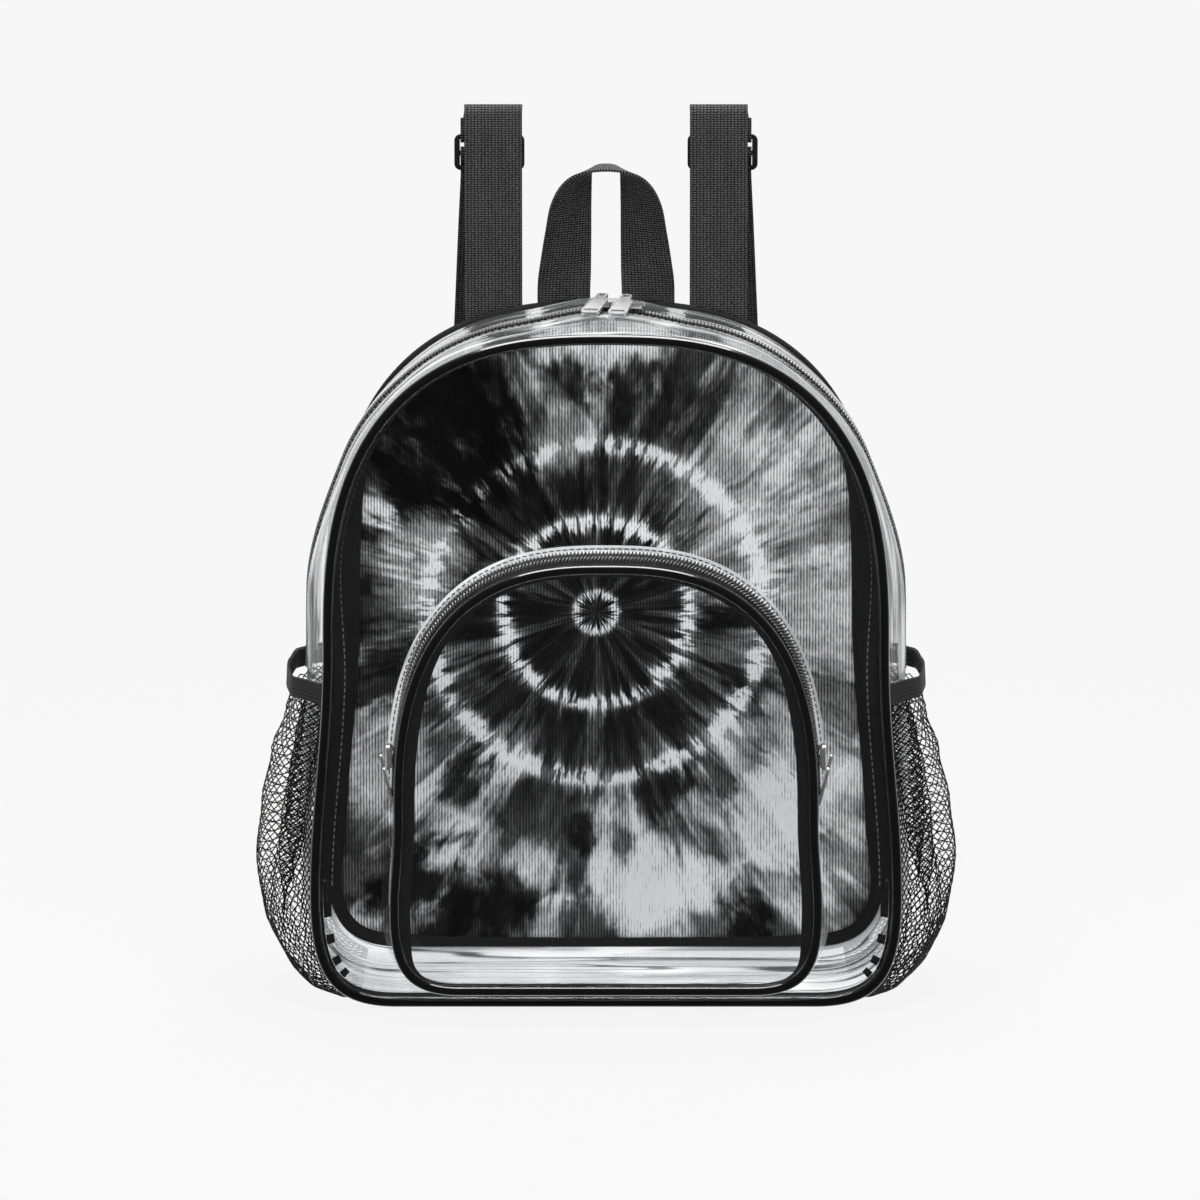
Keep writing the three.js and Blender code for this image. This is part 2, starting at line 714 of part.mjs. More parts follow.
function netDepths() {
  return range(0, Math.PI, NET_DEPTH_STEPS).map((turn) =>
    mix(netFrontY, netBackY, (1 - Math.cos(turn)) / 2),
  );
}

function netWall() {
  const clearance = VINYL_THICKNESS / 2 + 2 * GAP + NET_THICKNESS / 2;
  const grid = NET_SECTIONS.map(({ along, reach, sag }) =>
    netDepths().map((y) => netPoint(mix(netBottomShare, netTopShare, along), reach, sag, y, clearance)),
  );
  return sheetGeometry(grid, NET_THICKNESS);
}

// The net's diamond openings, as prisms along X in staggered rows
function netOpenings() {
  const stepY = NET_HOLE_WIDTH + NET_CORD_WIDTH;
  const stepZ = (NET_HOLE_HEIGHT + NET_CORD_WIDTH) / 2;
  const low = NET_HOLE_MARGIN;
  const high = NET_TOP_HEIGHT - NET_HOLE_HEIGHT / 2 - NET_CORD_WIDTH;
  const halfSpan = (netBackY - netFrontY) / 2 - NET_HOLE_MARGIN;
  const rows = Math.floor((high - low) / stepZ);
  const reachX = BODY_HALF_WIDTH + BODY_FOOT_FLARE + SIDE_BULGE + 2 * NET_REACH;
  const prisms = [];
  for (let row = 0; row <= rows; row += 1) {
    const shift = row % 2 ? stepY / 2 : 0;
    for (let y = shift - stepY * Math.floor((halfSpan + shift) / stepY); y <= halfSpan; y += stepY) {
      const z = low + row * stepZ;
      const shape = new THREE.Shape([
        new THREE.Vector2(-NET_HOLE_WIDTH / 2, 0),
        new THREE.Vector2(0, -NET_HOLE_HEIGHT / 2),
        new THREE.Vector2(NET_HOLE_WIDTH / 2, 0),
        new THREE.Vector2(0, NET_HOLE_HEIGHT / 2),
      ]);
      const prism = new THREE.ExtrudeGeometry(shape, { depth: reachX, bevelEnabled: false, steps: 1 });
      prism.rotateX(Math.PI / 2);
      prism.rotateZ(Math.PI / 2);
      prism.translate(0, y, z);
      prisms.push(prism);
    }
  }
  return prisms;
}

function elasticBand() {
  const { reach } = NET_SECTIONS[NET_SECTIONS.length - 1];
  const clearance = VINYL_THICKNESS / 2 + 2 * GAP + ELASTIC_THICKNESS / 2;
  const from = body.shareAtHeight(NET_TOP_HEIGHT + 3 * GAP);
  const to = body.shareAtHeight(NET_TOP_HEIGHT + ELASTIC_WIDTH);
  const grid = [from, to].map((s) => netDepths().map((y) => netPoint(s, reach, 0, y, clearance)));
  return sheetGeometry(grid, ELASTIC_THICKNESS);
}

// The left copy of a right-hand piece
function mirrored(geometry) {
  const points = [];
  const position = geometry.getAttribute("position");
  for (let i = 0; i < position.count; i += 1) {
    points.push(new THREE.Vector3(-position.getX(i), position.getY(i), position.getZ(i)));
  }
  const faces = [];
  for (let i = 0; i < geometry.index.count; i += 3) {
    faces.push([geometry.index.getX(i), geometry.index.getX(i + 1), geometry.index.getX(i + 2)]);
  }
  return closedGeometry(points, faces);
}

function addSidePockets() {
  let net = toSolid(netWall());
  for (const prism of netOpenings()) net = net.subtract(toSolid(prism));
  const netGeometry = fromSolid(net);
  const bandGeometry = elasticBand();
  addPiece("net_pocket_right", netGeometry, materials.net);
  addPiece("net_pocket_left", mirrored(netGeometry), materials.net);
  addPiece("elastic_band_right", bandGeometry, materials.elastic);
  addPiece("elastic_band_left", mirrored(bandGeometry), materials.elastic);
}

// Shoulder straps

const strapTopZ = BODY_HEIGHT + STRAP_RISE;
const buckleY = OVER_BINDING_Y + STRAP_FOLD + 2 * BUCKLE_THICKNESS;
const buckleHeight = 3 * BUCKLE_BAR + BUCKLE_UPPER_SLOT + BUCKLE_LOWER_SLOT;
const buckleZ = strapTopZ - BUCKLE_DROP;
const upperBarZ = buckleZ + buckleHeight / 2 - BUCKLE_BAR / 2;
const middleBarZ = upperBarZ - BUCKLE_BAR - BUCKLE_UPPER_SLOT;
const lowerBarZ = middleBarZ - BUCKLE_BAR - BUCKLE_LOWER_SLOT;
const buckleX = STRAP_OFFSET + BUCKLE_SHIFT;
const barHold = BUCKLE_THICKNESS / 2 + GAP + WEBBING_THICKNESS / 2;

function smoothPath(points, steps) {
  const curve = new THREE.CatmullRomCurve3(
    points.map(({ x, y, z }) => new THREE.Vector3(x, y, z)),
    false,
    "centripetal",
  );
  return curve.getPoints(steps);
}

// Sewn over the back panel, up and over the fold, and looped round the buckle's upper bar
function upperStrapPath() {
  const outlineTop = body.at(body.shareAtHeight(BODY_HEIGHT * 0.97)).z;
  const foot = outlineTop - STRAP_SEWN_LENGTH;
  const turn = barHold + 0.2;
  const x = STRAP_OFFSET;
  return smoothPath(
    [
      { x, y: SEWN_BACK_Y, z: foot },
      { x, y: SEWN_BACK_Y, z: foot + STRAP_SEWN_LENGTH / 2 },
      { x, y: OVER_BINDING_Y, z: outlineTop - 2 * BINDING_RADIUS },
      { x, y: OVER_BINDING_Y + 0.3, z: outlineTop + 2 * BINDING_RADIUS },
      { x, y: mix(OVER_BINDING_Y, OVER_BINDING_Y + STRAP_FOLD / 2, 0.4), z: mix(outlineTop, strapTopZ, 0.6) },
      { x, y: OVER_BINDING_Y + STRAP_FOLD * 0.35, z: strapTopZ - STRAP_FOLD },
      { x, y: OVER_BINDING_Y + STRAP_FOLD * 0.5, z: strapTopZ - 2.2 },
      { x, y: OVER_BINDING_Y + STRAP_FOLD * 0.8, z: strapTopZ - WEBBING_THICKNESS / 2 },
      { x, y: buckleY - 1.6, z: strapTopZ - 3 },
      { x: mix(x, buckleX, 0.5), y: buckleY - 1, z: mix(strapTopZ, upperBarZ, 0.55) },
      { x: buckleX, y: buckleY - turn, z: upperBarZ + 0.6 },
      { x: buckleX, y: buckleY - 0.85 * turn, z: upperBarZ - 0.85 * turn },
      { x: buckleX, y: buckleY, z: upperBarZ - 1.25 * turn },
      { x: buckleX, y: buckleY + 0.85 * turn, z: upperBarZ - 0.85 * turn },
      { x: buckleX, y: buckleY + turn, z: upperBarZ + 0.6 },
      { x: buckleX, y: buckleY + 1.2, z: upperBarZ + 4 },
      { x: buckleX, y: buckleY + 1, z: upperBarZ + STRAP_FOLD },
    ],
    40,
  );
}

// The rear strand's place at a height between the floor and the buckle
function rearStrand(share, off = 0) {
  const height = share * lowerBarZ;
  return {
    x: mix(STRAP_FOOT_OFFSET, buckleX, share),
    y: OVER_BINDING_Y + STRAP_BOW * lookUp([...STRAP_SECTIONS].reverse(), "bow", share, "height") + off,
    z: height,
  };
}

// From the foot of the back up to the buckle, over its middle bar and down again as a free tail
function lowerStrapPath() {
  const x = buckleX;
  const under = barHold + 0.5;
  const tailOff = 2 * WEBBING_THICKNESS;
  const foot = [
    { x: STRAP_FOOT_OFFSET, y: OVER_BINDING_Y, z: BINDING_RADIUS / 2 },
    { x: STRAP_FOOT_OFFSET, y: OVER_BINDING_Y, z: 3 * BINDING_RADIUS },
  ];
  const strand = [...STRAP_SECTIONS].reverse().map(({ height }) => rearStrand(height));
  const tailEnd = lowerBarZ - STRAP_TAIL;
  const beside = rearStrand(0.93);
  const atEnd = rearStrand(tailEnd / lowerBarZ);
  return smoothPath(
    [
      ...foot,
      ...strand,
      { x, y: buckleY + under, z: lowerBarZ - 2.4 },
      { x, y: buckleY + under, z: lowerBarZ + 0.5 },
      { x, y: buckleY, z: mix(lowerBarZ, middleBarZ, 0.5) },
      { x, y: buckleY - under, z: middleBarZ - 0.5 },
      { x, y: buckleY - 0.85 * under, z: middleBarZ + 1.7 },
      { x, y: buckleY, z: middleBarZ + 2.6 },
      { x, y: buckleY + 0.8 * under, z: middleBarZ + 2.1 },
      { x, y: buckleY + under + tailOff * 0.75, z: middleBarZ - 0.6 },
      { x, y: buckleY + under + tailOff * 1.1, z: lowerBarZ - 2 },
      { x: beside.x, y: beside.y + 1.3 * tailOff, z: beside.z },
      { x: atEnd.x, y: atEnd.y + 1.5 * tailOff, z: atEnd.z },
    ],
    60,
  );
}

function roundedShape(width, height, corner) {
  const shape = new THREE.Shape();
  const [w, h] = [width / 2 - corner, height / 2 - corner];
  shape.absarc(w, h, corner, 0, Math.PI / 2);
  shape.absarc(-w, h, corner, Math.PI / 2, Math.PI);
  shape.absarc(-w, -h, corner, Math.PI, 1.5 * Math.PI);
  shape.absarc(w, -h, corner, 1.5 * Math.PI, 2 * Math.PI);
  return shape;
}

// A flat slide buckle with three bars and two slots, facing along Y
function buckleGeometry() {
  const shape = roundedShape(STRAP_WIDTH + 2 * (GAP + BUCKLE_SIDE), buckleHeight, BUCKLE_CORNER);
  const slotHalf = STRAP_WIDTH / 2 + GAP;
  for (const [middle, height] of [
    [middleBarZ + BUCKLE_BAR / 2 + BUCKLE_UPPER_SLOT / 2, BUCKLE_UPPER_SLOT],
    [lowerBarZ + BUCKLE_BAR / 2 + BUCKLE_LOWER_SLOT / 2, BUCKLE_LOWER_SLOT],
  ]) {
    const z = middle - buckleZ;
    shape.holes.push(
      new THREE.Path([
        new THREE.Vector2(-slotHalf, z - height / 2),
        new THREE.Vector2(-slotHalf, z + height / 2),
        new THREE.Vector2(slotHalf, z + height / 2),
        new THREE.Vector2(slotHalf, z - height / 2),
      ]),
    );
  }
  const geometry = new THREE.ExtrudeGeometry(shape, {
    depth: BUCKLE_THICKNESS,
    bevelEnabled: false,
    curveSegments: 3,
  });
  geometry.translate(0, 0, -BUCKLE_THICKNESS / 2);
  geometry.rotateX(Math.PI / 2);
  return geometry;
}

function addStraps() {
  const upper = webbingGeometry(upperStrapPath(), STRAP_WIDTH);
  const lower = webbingGeometry(lowerStrapPath(), STRAP_WIDTH);
  addPiece("strap_upper_right", upper, materials.webbing);
  addPiece("strap_upper_left", mirrored(upper), materials.webbing);
  addPiece("strap_lower_right", lower, materials.webbing);
  addPiece("strap_lower_left", mirrored(lower), materials.webbing);
  for (const [name, side] of [["strap_buckle_right", 1], ["strap_buckle_left", -1]]) {
    const buckle = addPiece(name, buckleGeometry(), materials.buckle);
    buckle.position.set(side * buckleX, buckleY, buckleZ);
  }
}

// Grab handle: flat legs behind the binding that twist so that the crest lies level
function handleSections() {
  const foot = BODY_HEIGHT - HANDLE_SEWN_LENGTH;
  const centre = HANDLE_OPENING / 2 + HANDLE_WIDTH / 2;
  const legs = [
    { x: centre, y: SEWN_BACK_Y, z: foot, twist: 0 },
    { x: centre, y: SEWN_BACK_Y, z: foot + HANDLE_SEWN_LENGTH / 2, twist: 0 },
    { x: centre, y: OVER_BINDING_Y, z: BODY_HEIGHT - 2 * BINDING_RADIUS, twist: 0 },
    ...HANDLE_SECTIONS.map(({ rise, centre: share, twist }) => ({
      x: centre * share,
      y: OVER_BINDING_Y + 0.4,
      z: BODY_HEIGHT + HANDLE_RISE * rise,
      twist,
    })),
  ];
  const crest = { x: 0, y: OVER_BINDING_Y + 0.4, z: BODY_HEIGHT + HANDLE_RISE, twist: 90 };
  const far = [...legs].reverse().map(({ x, y, z, twist }) => ({ x: -x, y, z, twist: 180 - twist }));
  return [...legs, crest, ...far];
}

function addHandle() {
  const sections = handleSections();
  const steps = 2 * (sections.length - 1);
  const path = smoothPath(sections, steps);
  const twists = smoothPath(sections.map(({ twist }) => ({ x: twist, y: 0, z: 0 })), steps);
  const grid = path.map((point, i) => {
    const turn = THREE.MathUtils.degToRad(twists[i].x);
    const outer = new THREE.Vector3(Math.cos(turn), -Math.sin(turn), 0).multiplyScalar(HANDLE_WIDTH / 2);
    return [point.clone().sub(outer), point.clone().add(outer)];
  });
  addPiece("grab_handle", sheetGeometry(grid, WEBBING_THICKNESS), materials.webbing);
}

// Zipper sliders. Each is made with its zipper's surface at z = 0, its bar along X and its pull tab
// towards -Y.

const plateLow = TAPE_THICKNESS / 2 + GAP + CHAIN_THICKNESS + 2 * GAP;
const plateTop = plateLow + SLIDER_PLATE;
const barZ = plateTop + BAR_HEIGHT;
const lugInner = KNUCKLE_WIDTH / 2 + GAP;

function boxSolid(x, y, z, width, depth, height) {
  const box = new THREE.BoxGeometry(width, depth, height);
  box.translate(x, y, z);
  return toSolid(box);
}

function rodSolid(radius, length, z) {
  const rod = new THREE.CylinderGeometry(radius, radius, length, ROD_SIDES);
  rod.rotateZ(Math.PI / 2);
  rod.translate(0, 0, z);
  return toSolid(rod);
}

function sliderGeometry(alongBar, acrossBar, inset, skew) {
  const plate = boxSolid(inset, 0, (plateLow + plateTop) / 2, alongBar, acrossBar, SLIDER_PLATE);
  let solid = plate.rotate([0, 0, skew]);
  const lugHeight = BAR_HEIGHT + LUG_TOP + SLIDER_PLATE / 2;
  for (const side of [-1, 1]) {
    const x = side * (lugInner + LUG_THICKNESS / 2);
    const z = plateTop - SLIDER_PLATE / 2 + lugHeight / 2;
    solid = solid.add(boxSolid(x, 0, z, LUG_THICKNESS, LUG_DEPTH, lugHeight));
  }
  solid = solid.add(rodSolid(BAR_RADIUS, 2 * lugInner + LUG_THICKNESS, barZ));
  return fromSolid(solid);
}

// A pull tab about the bar's axis at the origin: a knuckle, a neck and a slotted blade along -Y
function tabGeometry() {
  const [w, n] = [TAB_WIDTH / 2, KNUCKLE_WIDTH / 2];
  const outline = new THREE.Shape();
  outline.moveTo(-n, 0);
  outline.lineTo(-n, -TAB_NECK);
  outline.lineTo(-w, -TAB_NECK - (w - n));
  outline.lineTo(-w, -TAB_LENGTH + w * 0.7);
  outline.quadraticCurveTo(-w * 0.9, -TAB_LENGTH, 0, -TAB_LENGTH);
  outline.quadraticCurveTo(w * 0.9, -TAB_LENGTH, w, -TAB_LENGTH + w * 0.7);
  outline.lineTo(w, -TAB_NECK - (w - n));
  outline.lineTo(n, -TAB_NECK);
  outline.lineTo(n, 0);
  const slotY = -TAB_LENGTH + 1.8 * TAB_SLOT_HEIGHT;
  const slot = new THREE.Path();
  slot.absellipse(0, slotY, TAB_SLOT_WIDTH / 2, TAB_SLOT_HEIGHT / 2, 0, 2 * Math.PI, true);
  outline.holes.push(slot);
  const blade = new THREE.ExtrudeGeometry(outline, {
    depth: TAB_THICKNESS,
    bevelEnabled: false,
    curveSegments: 3,
  });
  blade.translate(0, 0, -TAB_THICKNESS / 2);
  const knuckle = rodSolid(KNUCKLE_RADIUS, KNUCKLE_WIDTH, 0);
  const bore = rodSolid(BAR_RADIUS + GAP, 2 * KNUCKLE_WIDTH, 0);
  return fromSolid(toSolid(blade).add(knuckle).subtract(bore));
}

// How far a tab dips so that its tip rests just over the zipper's surface
const tabRestZ = VINYL_THICKNESS / 2 + GAP + 0.2 + TAB_THICKNESS / 2;
const tabDip = Math.asin((barZ - tabRestZ) / TAB_LENGTH);

function addSlider(name, place, alongBar, acrossBar, inset = 0, skew = 0) {
  const mount = new THREE.Group();
  mount.position.copy(place.position);
  mount.quaternion.copy(place.quaternion);
  pack.add(mount);
  addPiece(`${name}_slider`, sliderGeometry(alongBar, acrossBar, inset, skew), materials.metal, mount);
  const tab = addPiece(`${name}_pull`, tabGeometry(), materials.metal, mount);
  tab.position.z = barZ;
  tab.rotation.x = tabDip;
}

function addSliders() {
  for (const [name, place, inset, skew] of [
    ["zipper_right", RIGHT_SLIDER_PLACE, RIGHT_PULL_INSET, RIGHT_PULL_SKEW],
    ["zipper_left", LEFT_SLIDER_PLACE, LEFT_PULL_INSET, LEFT_PULL_SKEW],
  ]) {
    const share = 1 - (place - inset) / body.length;
    const { nx, nz } = body.at(share);
    const basis = new THREE.Matrix4().makeBasis(
      new THREE.Vector3(nz, 0, -nx),
      new THREE.Vector3(0, 1, 0),
      new THREE.Vector3(nx, 0, nz),
    );
    basis.multiply(new THREE.Matrix4().makeRotationZ(-THREE.MathUtils.degToRad(skew)));
    const quaternion = new THREE.Quaternion().setFromRotationMatrix(basis);
    const position = gussetPoint(share, ZIPPER_Y);
    addSlider(name, { position, quaternion }, SLIDER_LENGTH, SLIDER_WIDTH, inset, skew);
  }
  const share = pocket.shareAtHeight(POCKET_ZIPPER_END_HEIGHT + 1.4 * SLIDER_LENGTH);
  for (const [name, side] of [["pocket_zipper_right", 1], ["pocket_zipper_left", -1]]) {
    const position = pocketGussetPoint(side > 0 ? share : 2 - share, POCKET_ZIPPER_SETBACK);
    const { nx, nz } = pocket.at(side > 0 ? share : 2 - share);
    const normal = new THREE.Vector3(nx, 0, nz);
    const up = new THREE.Vector3(-nz, 0, nx).multiplyScalar(side);
    const bar = new THREE.Vector3().crossVectors(up, normal);
    const basis = new THREE.Matrix4().makeBasis(bar, up, normal);
    const quaternion = new THREE.Quaternion().setFromRotationMatrix(basis);
    addSlider(name, { position, quaternion }, SLIDER_WIDTH, SLIDER_LENGTH);
  }
}

addBody();
addMainZipper();
addPocket();
addSidePockets();
addStraps();
addHandle();
addSliders();

// The origin is the middle of the bottom of the box round the whole pack
pack.updateMatrixWorld(true);
const bounds = new THREE.Box3().setFromObject(pack, true);
pack.position.set(
  -(bounds.min.x + bounds.max.x) / 2,
  -(bounds.min.y + bounds.max.y) / 2,
  -bounds.min.z,
);

export default pack;
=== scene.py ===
import json
import math

import bpy
import numpy as np
from mathutils import Matrix, Vector


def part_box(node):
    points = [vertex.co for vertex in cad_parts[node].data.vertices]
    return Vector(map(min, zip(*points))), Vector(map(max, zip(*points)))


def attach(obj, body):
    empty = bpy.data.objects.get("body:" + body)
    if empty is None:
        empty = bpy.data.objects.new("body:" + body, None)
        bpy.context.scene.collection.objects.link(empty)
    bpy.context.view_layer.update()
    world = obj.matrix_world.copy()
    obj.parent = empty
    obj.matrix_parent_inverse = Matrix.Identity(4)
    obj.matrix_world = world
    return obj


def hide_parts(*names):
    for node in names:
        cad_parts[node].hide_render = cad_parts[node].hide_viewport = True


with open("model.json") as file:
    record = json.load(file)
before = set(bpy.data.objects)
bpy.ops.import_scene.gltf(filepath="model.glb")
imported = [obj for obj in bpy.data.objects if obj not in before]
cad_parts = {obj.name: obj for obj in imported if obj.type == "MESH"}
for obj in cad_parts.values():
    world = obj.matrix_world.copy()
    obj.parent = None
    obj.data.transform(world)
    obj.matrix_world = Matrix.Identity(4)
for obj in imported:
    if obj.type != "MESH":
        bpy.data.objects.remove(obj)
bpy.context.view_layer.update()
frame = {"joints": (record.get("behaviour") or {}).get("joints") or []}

bl_info = {
    "name": "Clear Backpack",
    "version": (1, 0, 0),
    "blender": (4, 5, 0),
    "location": "View3D > Sidebar > Backpack",
    "description": "Builds a clear stadium backpack with a printed back, net pockets and webbing straps",
    "category": "Add Mesh",
}

MM = 0.001
BODY = "pack"

# Sizes in millimetres that the frame and the soft pieces share
HEIGHT = 306
DEPTH = 120
HALF_WIDTH = 126.5
SIDE_BULGE = 10
FRONT_CROWN = 4
FRONT_Y = -DEPTH / 2
BACK_Y = DEPTH / 2
PIPING_RADIUS = 2.5
SEAM_GAP = 2.8
ZIPPER_Y = FRONT_Y + 54
TAPE_WIDTH = 10
BAND_WIDTH = 10
NET_TOP = 137
NET_REACH = 22.8
ZIPPER_END = NET_TOP + BAND_WIDTH - 1
POCKET_DEPTH = 32
POCKET_Y = FRONT_Y - POCKET_DEPTH
POCKET_ZIPPER = 15
POCKET_ZIPPER_END = 100
POCKET_PIPING_RADIUS = 2.2
STRAP_WIDTH = 27
STRAP_X = 52.6
STRAP_FOOT_X = 72
STRAP_TOP = HEIGHT + 93
BUCKLE_X = 54.5
OVER_BINDING_Y = BACK_Y + 3.45
SEWN_BACK_Y = BACK_Y + 2.15
BUCKLE_Y = OVER_BINDING_Y + 12.1
BUCKLE_Z = STRAP_TOP - 23
UPPER_BAR_Z = BUCKLE_Z + 7.4
MIDDLE_BAR_Z = UPPER_BAR_Z - 8
LOWER_BAR_Z = MIDDLE_BAR_Z - 6.8
HANDLE_WIDTH = 24.7
HANDLE_X = 19.65
HANDLE_RISE = 64

# From the sizes' own origin, under the middle of the pack, to the frame's
back_low, back_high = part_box("back_panel")
BACK_MIDDLE = (back_low[1] + back_high[1]) / 2 / MM
SHIFT = np.array([0.0, BACK_MIDDLE - BACK_Y, back_low[2] / MM - SEAM_GAP])

GUSSET_ALONG = np.array([0, 0.24, 0.38, 0.48, 0.6, 0.72, 0.82, 0.92, 1])
GUSSET_BULGE = np.array([0.3, 0.3, 0.7, 1, 1, 0.4, 0.15, 0.2, 0.6])
NET_ALONG = np.array([0, 0.03, 0.08, 0.16, 0.28, 0.45, 0.62, 0.78, 0.9, 1])
NET_OUT = np.array([0, 0.35, 0.6, 0.74, 0.9, 1, 0.93, 0.72, 0.47, 0.36])
NET_SAG = np.array([0, 0.14, 0.2, 0.14, 0.05, 0, 0, 0, 0, 0])
# The pocket's gusset over its crown: distance from the front panel, and height over the seam
POCKET_AWAY = np.array([0, 4, 9, 13, 17, 22, 32])
POCKET_OUT = np.array([3.2, 4.4, 4.9, 3.8, 1.6, 0.6, 0])
# Pleats of the net: where across its width it doubles back, to which place and how far in
PLEAT_ACROSS = np.array([0, 0.1, 0.21, 0.29, 0.38, 0.5, 0.62, 0.71, 0.79, 0.9, 1])
PLEAT_PLACE = np.array([0, 0.1, 0.24, 0.14, 0.25, 0.5, 0.75, 0.86, 0.76, 0.9, 1])
PLEAT_DROP = np.array([0, 0, 0.2, 2.2, 3.2, 1.6, 3.2, 2.2, 0.2, 0, 0])
STRAND_HEIGHT = np.array([0.07, 0.14, 0.28, 0.44, 0.6, 0.8, 0.93])
STRAND_BOW = np.array([0.2, 0.5, 0.84, 1, 0.95, 0.72, 0.52])


def length(name, description, default):
    return bpy.props.FloatProperty(name=name, description=description, default=default, unit="LENGTH")


def number(name, description, default):
    return bpy.props.IntProperty(name=name, description=description, default=default)


def grey(name, description, level):
    return bpy.props.FloatVectorProperty(
        name=name, description=description, default=(level, level, level), subtype="COLOR", min=0, max=1)


class BackpackSizes(bpy.types.PropertyGroup):
    vinyl_thickness: length("Vinyl thickness", "Thickness of the clear sheet", 0.0006)
    vinyl_ripple: length("Vinyl ripple", "Height of the ripples in the gusset", 0.0009)
    cloth_thickness: length("Cloth thickness", "Thickness of the printed back", 0.0016)
    coil_pitch: length("Coil pitch", "Distance between the zipper's teeth", 0.0016)
    net_columns: number("Net columns", "Cells across a side pocket", 30)
    net_rows: number("Net rows", "Rows of cells up a side pocket", 66)
    net_cord: length("Net cord", "Half the width of the net's cord", 0.0003)
    net_fold: length("Net folds", "Depth of the net's gathered folds", 0.0024)
    webbing_thickness: length("Webbing thickness", "Thickness of the straps", 0.0011)
    stitch_length: length("Stitch length", "Length of one stitch", 0.0021)
    stitch_pitch: length("Stitch pitch", "Distance from stitch to stitch", 0.0031)


class BackpackColours(bpy.types.PropertyGroup):
    print_dark: grey("Print dark", "Darkest dye of the print", 0.0015)
    print_light: grey("Print light", "Undyed cloth", 0.78)
    piping: grey("Piping", "Piping's vinyl cover", 0.003)
    tape: grey("Tape", "Binding and zipper tape", 0.005)
    webbing: grey("Webbing", "Straps and grab handle", 0.017)
    net: grey("Net", "Side pockets' net", 0.004)
    thread: grey("Thread", "Light stitching", 0.16)
    background: grey("Background", "Floor and backdrop", 0.93)


def sizes():
    return bpy.context.scene.backpack_sizes


def colours():
    return bpy.context.scene.backpack_colours


# Numbers on curves and tables

def smooth(share):
    s = np.clip(share, 0, 1)
    return s * s * (3 - 2 * s)


def mix(a, b, share):
    return a + (b - a) * share


def look_up(places, values, place):
    """A table's value at a place, eased between its rows."""
    place = np.clip(place, places[0], places[-1])
    i = np.clip(np.searchsorted(places, place, side="right") - 1, 0, len(places) - 2)
    share = (place - places[i]) / (places[i + 1] - places[i])
    return mix(values[i], values[i + 1], smooth(share))


def unit(vectors):
    return vectors / np.maximum(np.linalg.norm(vectors, axis=-1, keepdims=True), 1e-12)


def bezier(a, b, c, d, steps=60):
    t = np.linspace(0, 1, steps)[:, None]
    a, b, c, d = (np.array(p, float) for p in (a, b, c, d))
    return (1 - t) ** 3 * a + 3 * (1 - t) ** 2 * t * b + 3 * (1 - t) * t * t * c + t ** 3 * d


def run_of(path):
    """The length along a path up to each of its points."""
    return np.concatenate([[0], np.cumsum(np.linalg.norm(np.diff(path, axis=0), axis=1))])


def half_share(s):
    """A place on an outline (0 to 2) as its share of the way up from the base, on either side."""
    turned = np.mod(s, 2)
    return np.where(turned > 1, 2 - turned, turned)


def even(points, count):
    """The same path at even distances."""
    run = run_of(points)
    at = np.linspace(0, run[-1], count)
    return np.stack([np.interp(at, run, points[:, k]) for k in range(points.shape[1])], 1)


def smooth_path(points, steps=400):
    """A curve through points, without overshoot, at even distances."""
    p = np.array(points, float)
    p = np.vstack([2 * p[0] - p[1], p, 2 * p[-1] - p[-2]])
    knots = np.concatenate([[0], np.cumsum(np.linalg.norm(np.diff(p, axis=0), axis=1) ** 0.5)])
    found = []
    for i in range(1, len(p) - 2):
        t0, t1, t2, t3 = knots[i - 1:i + 3]
        t = np.linspace(t1, t2, 24, endpoint=False)[:, None]
        a1 = (t1 - t) / (t1 - t0) * p[i - 1] + (t - t0) / (t1 - t0) * p[i]
        a2 = (t2 - t) / (t2 - t1) * p[i] + (t - t1) / (t2 - t1) * p[i + 1]
        a3 = (t3 - t) / (t3 - t2) * p[i + 1] + (t - t2) / (t3 - t2) * p[i + 2]
        b1 = (t2 - t) / (t2 - t0) * a1 + (t - t0) / (t2 - t0) * a2
        b2 = (t3 - t) / (t3 - t1) * a2 + (t - t1) / (t3 - t1) * a3
        found.append((t2 - t) / (t2 - t1) * b1 + (t - t1) / (t2 - t1) * b2)
    found.append(p[-2][None])
    return even(np.vstack(found), steps)


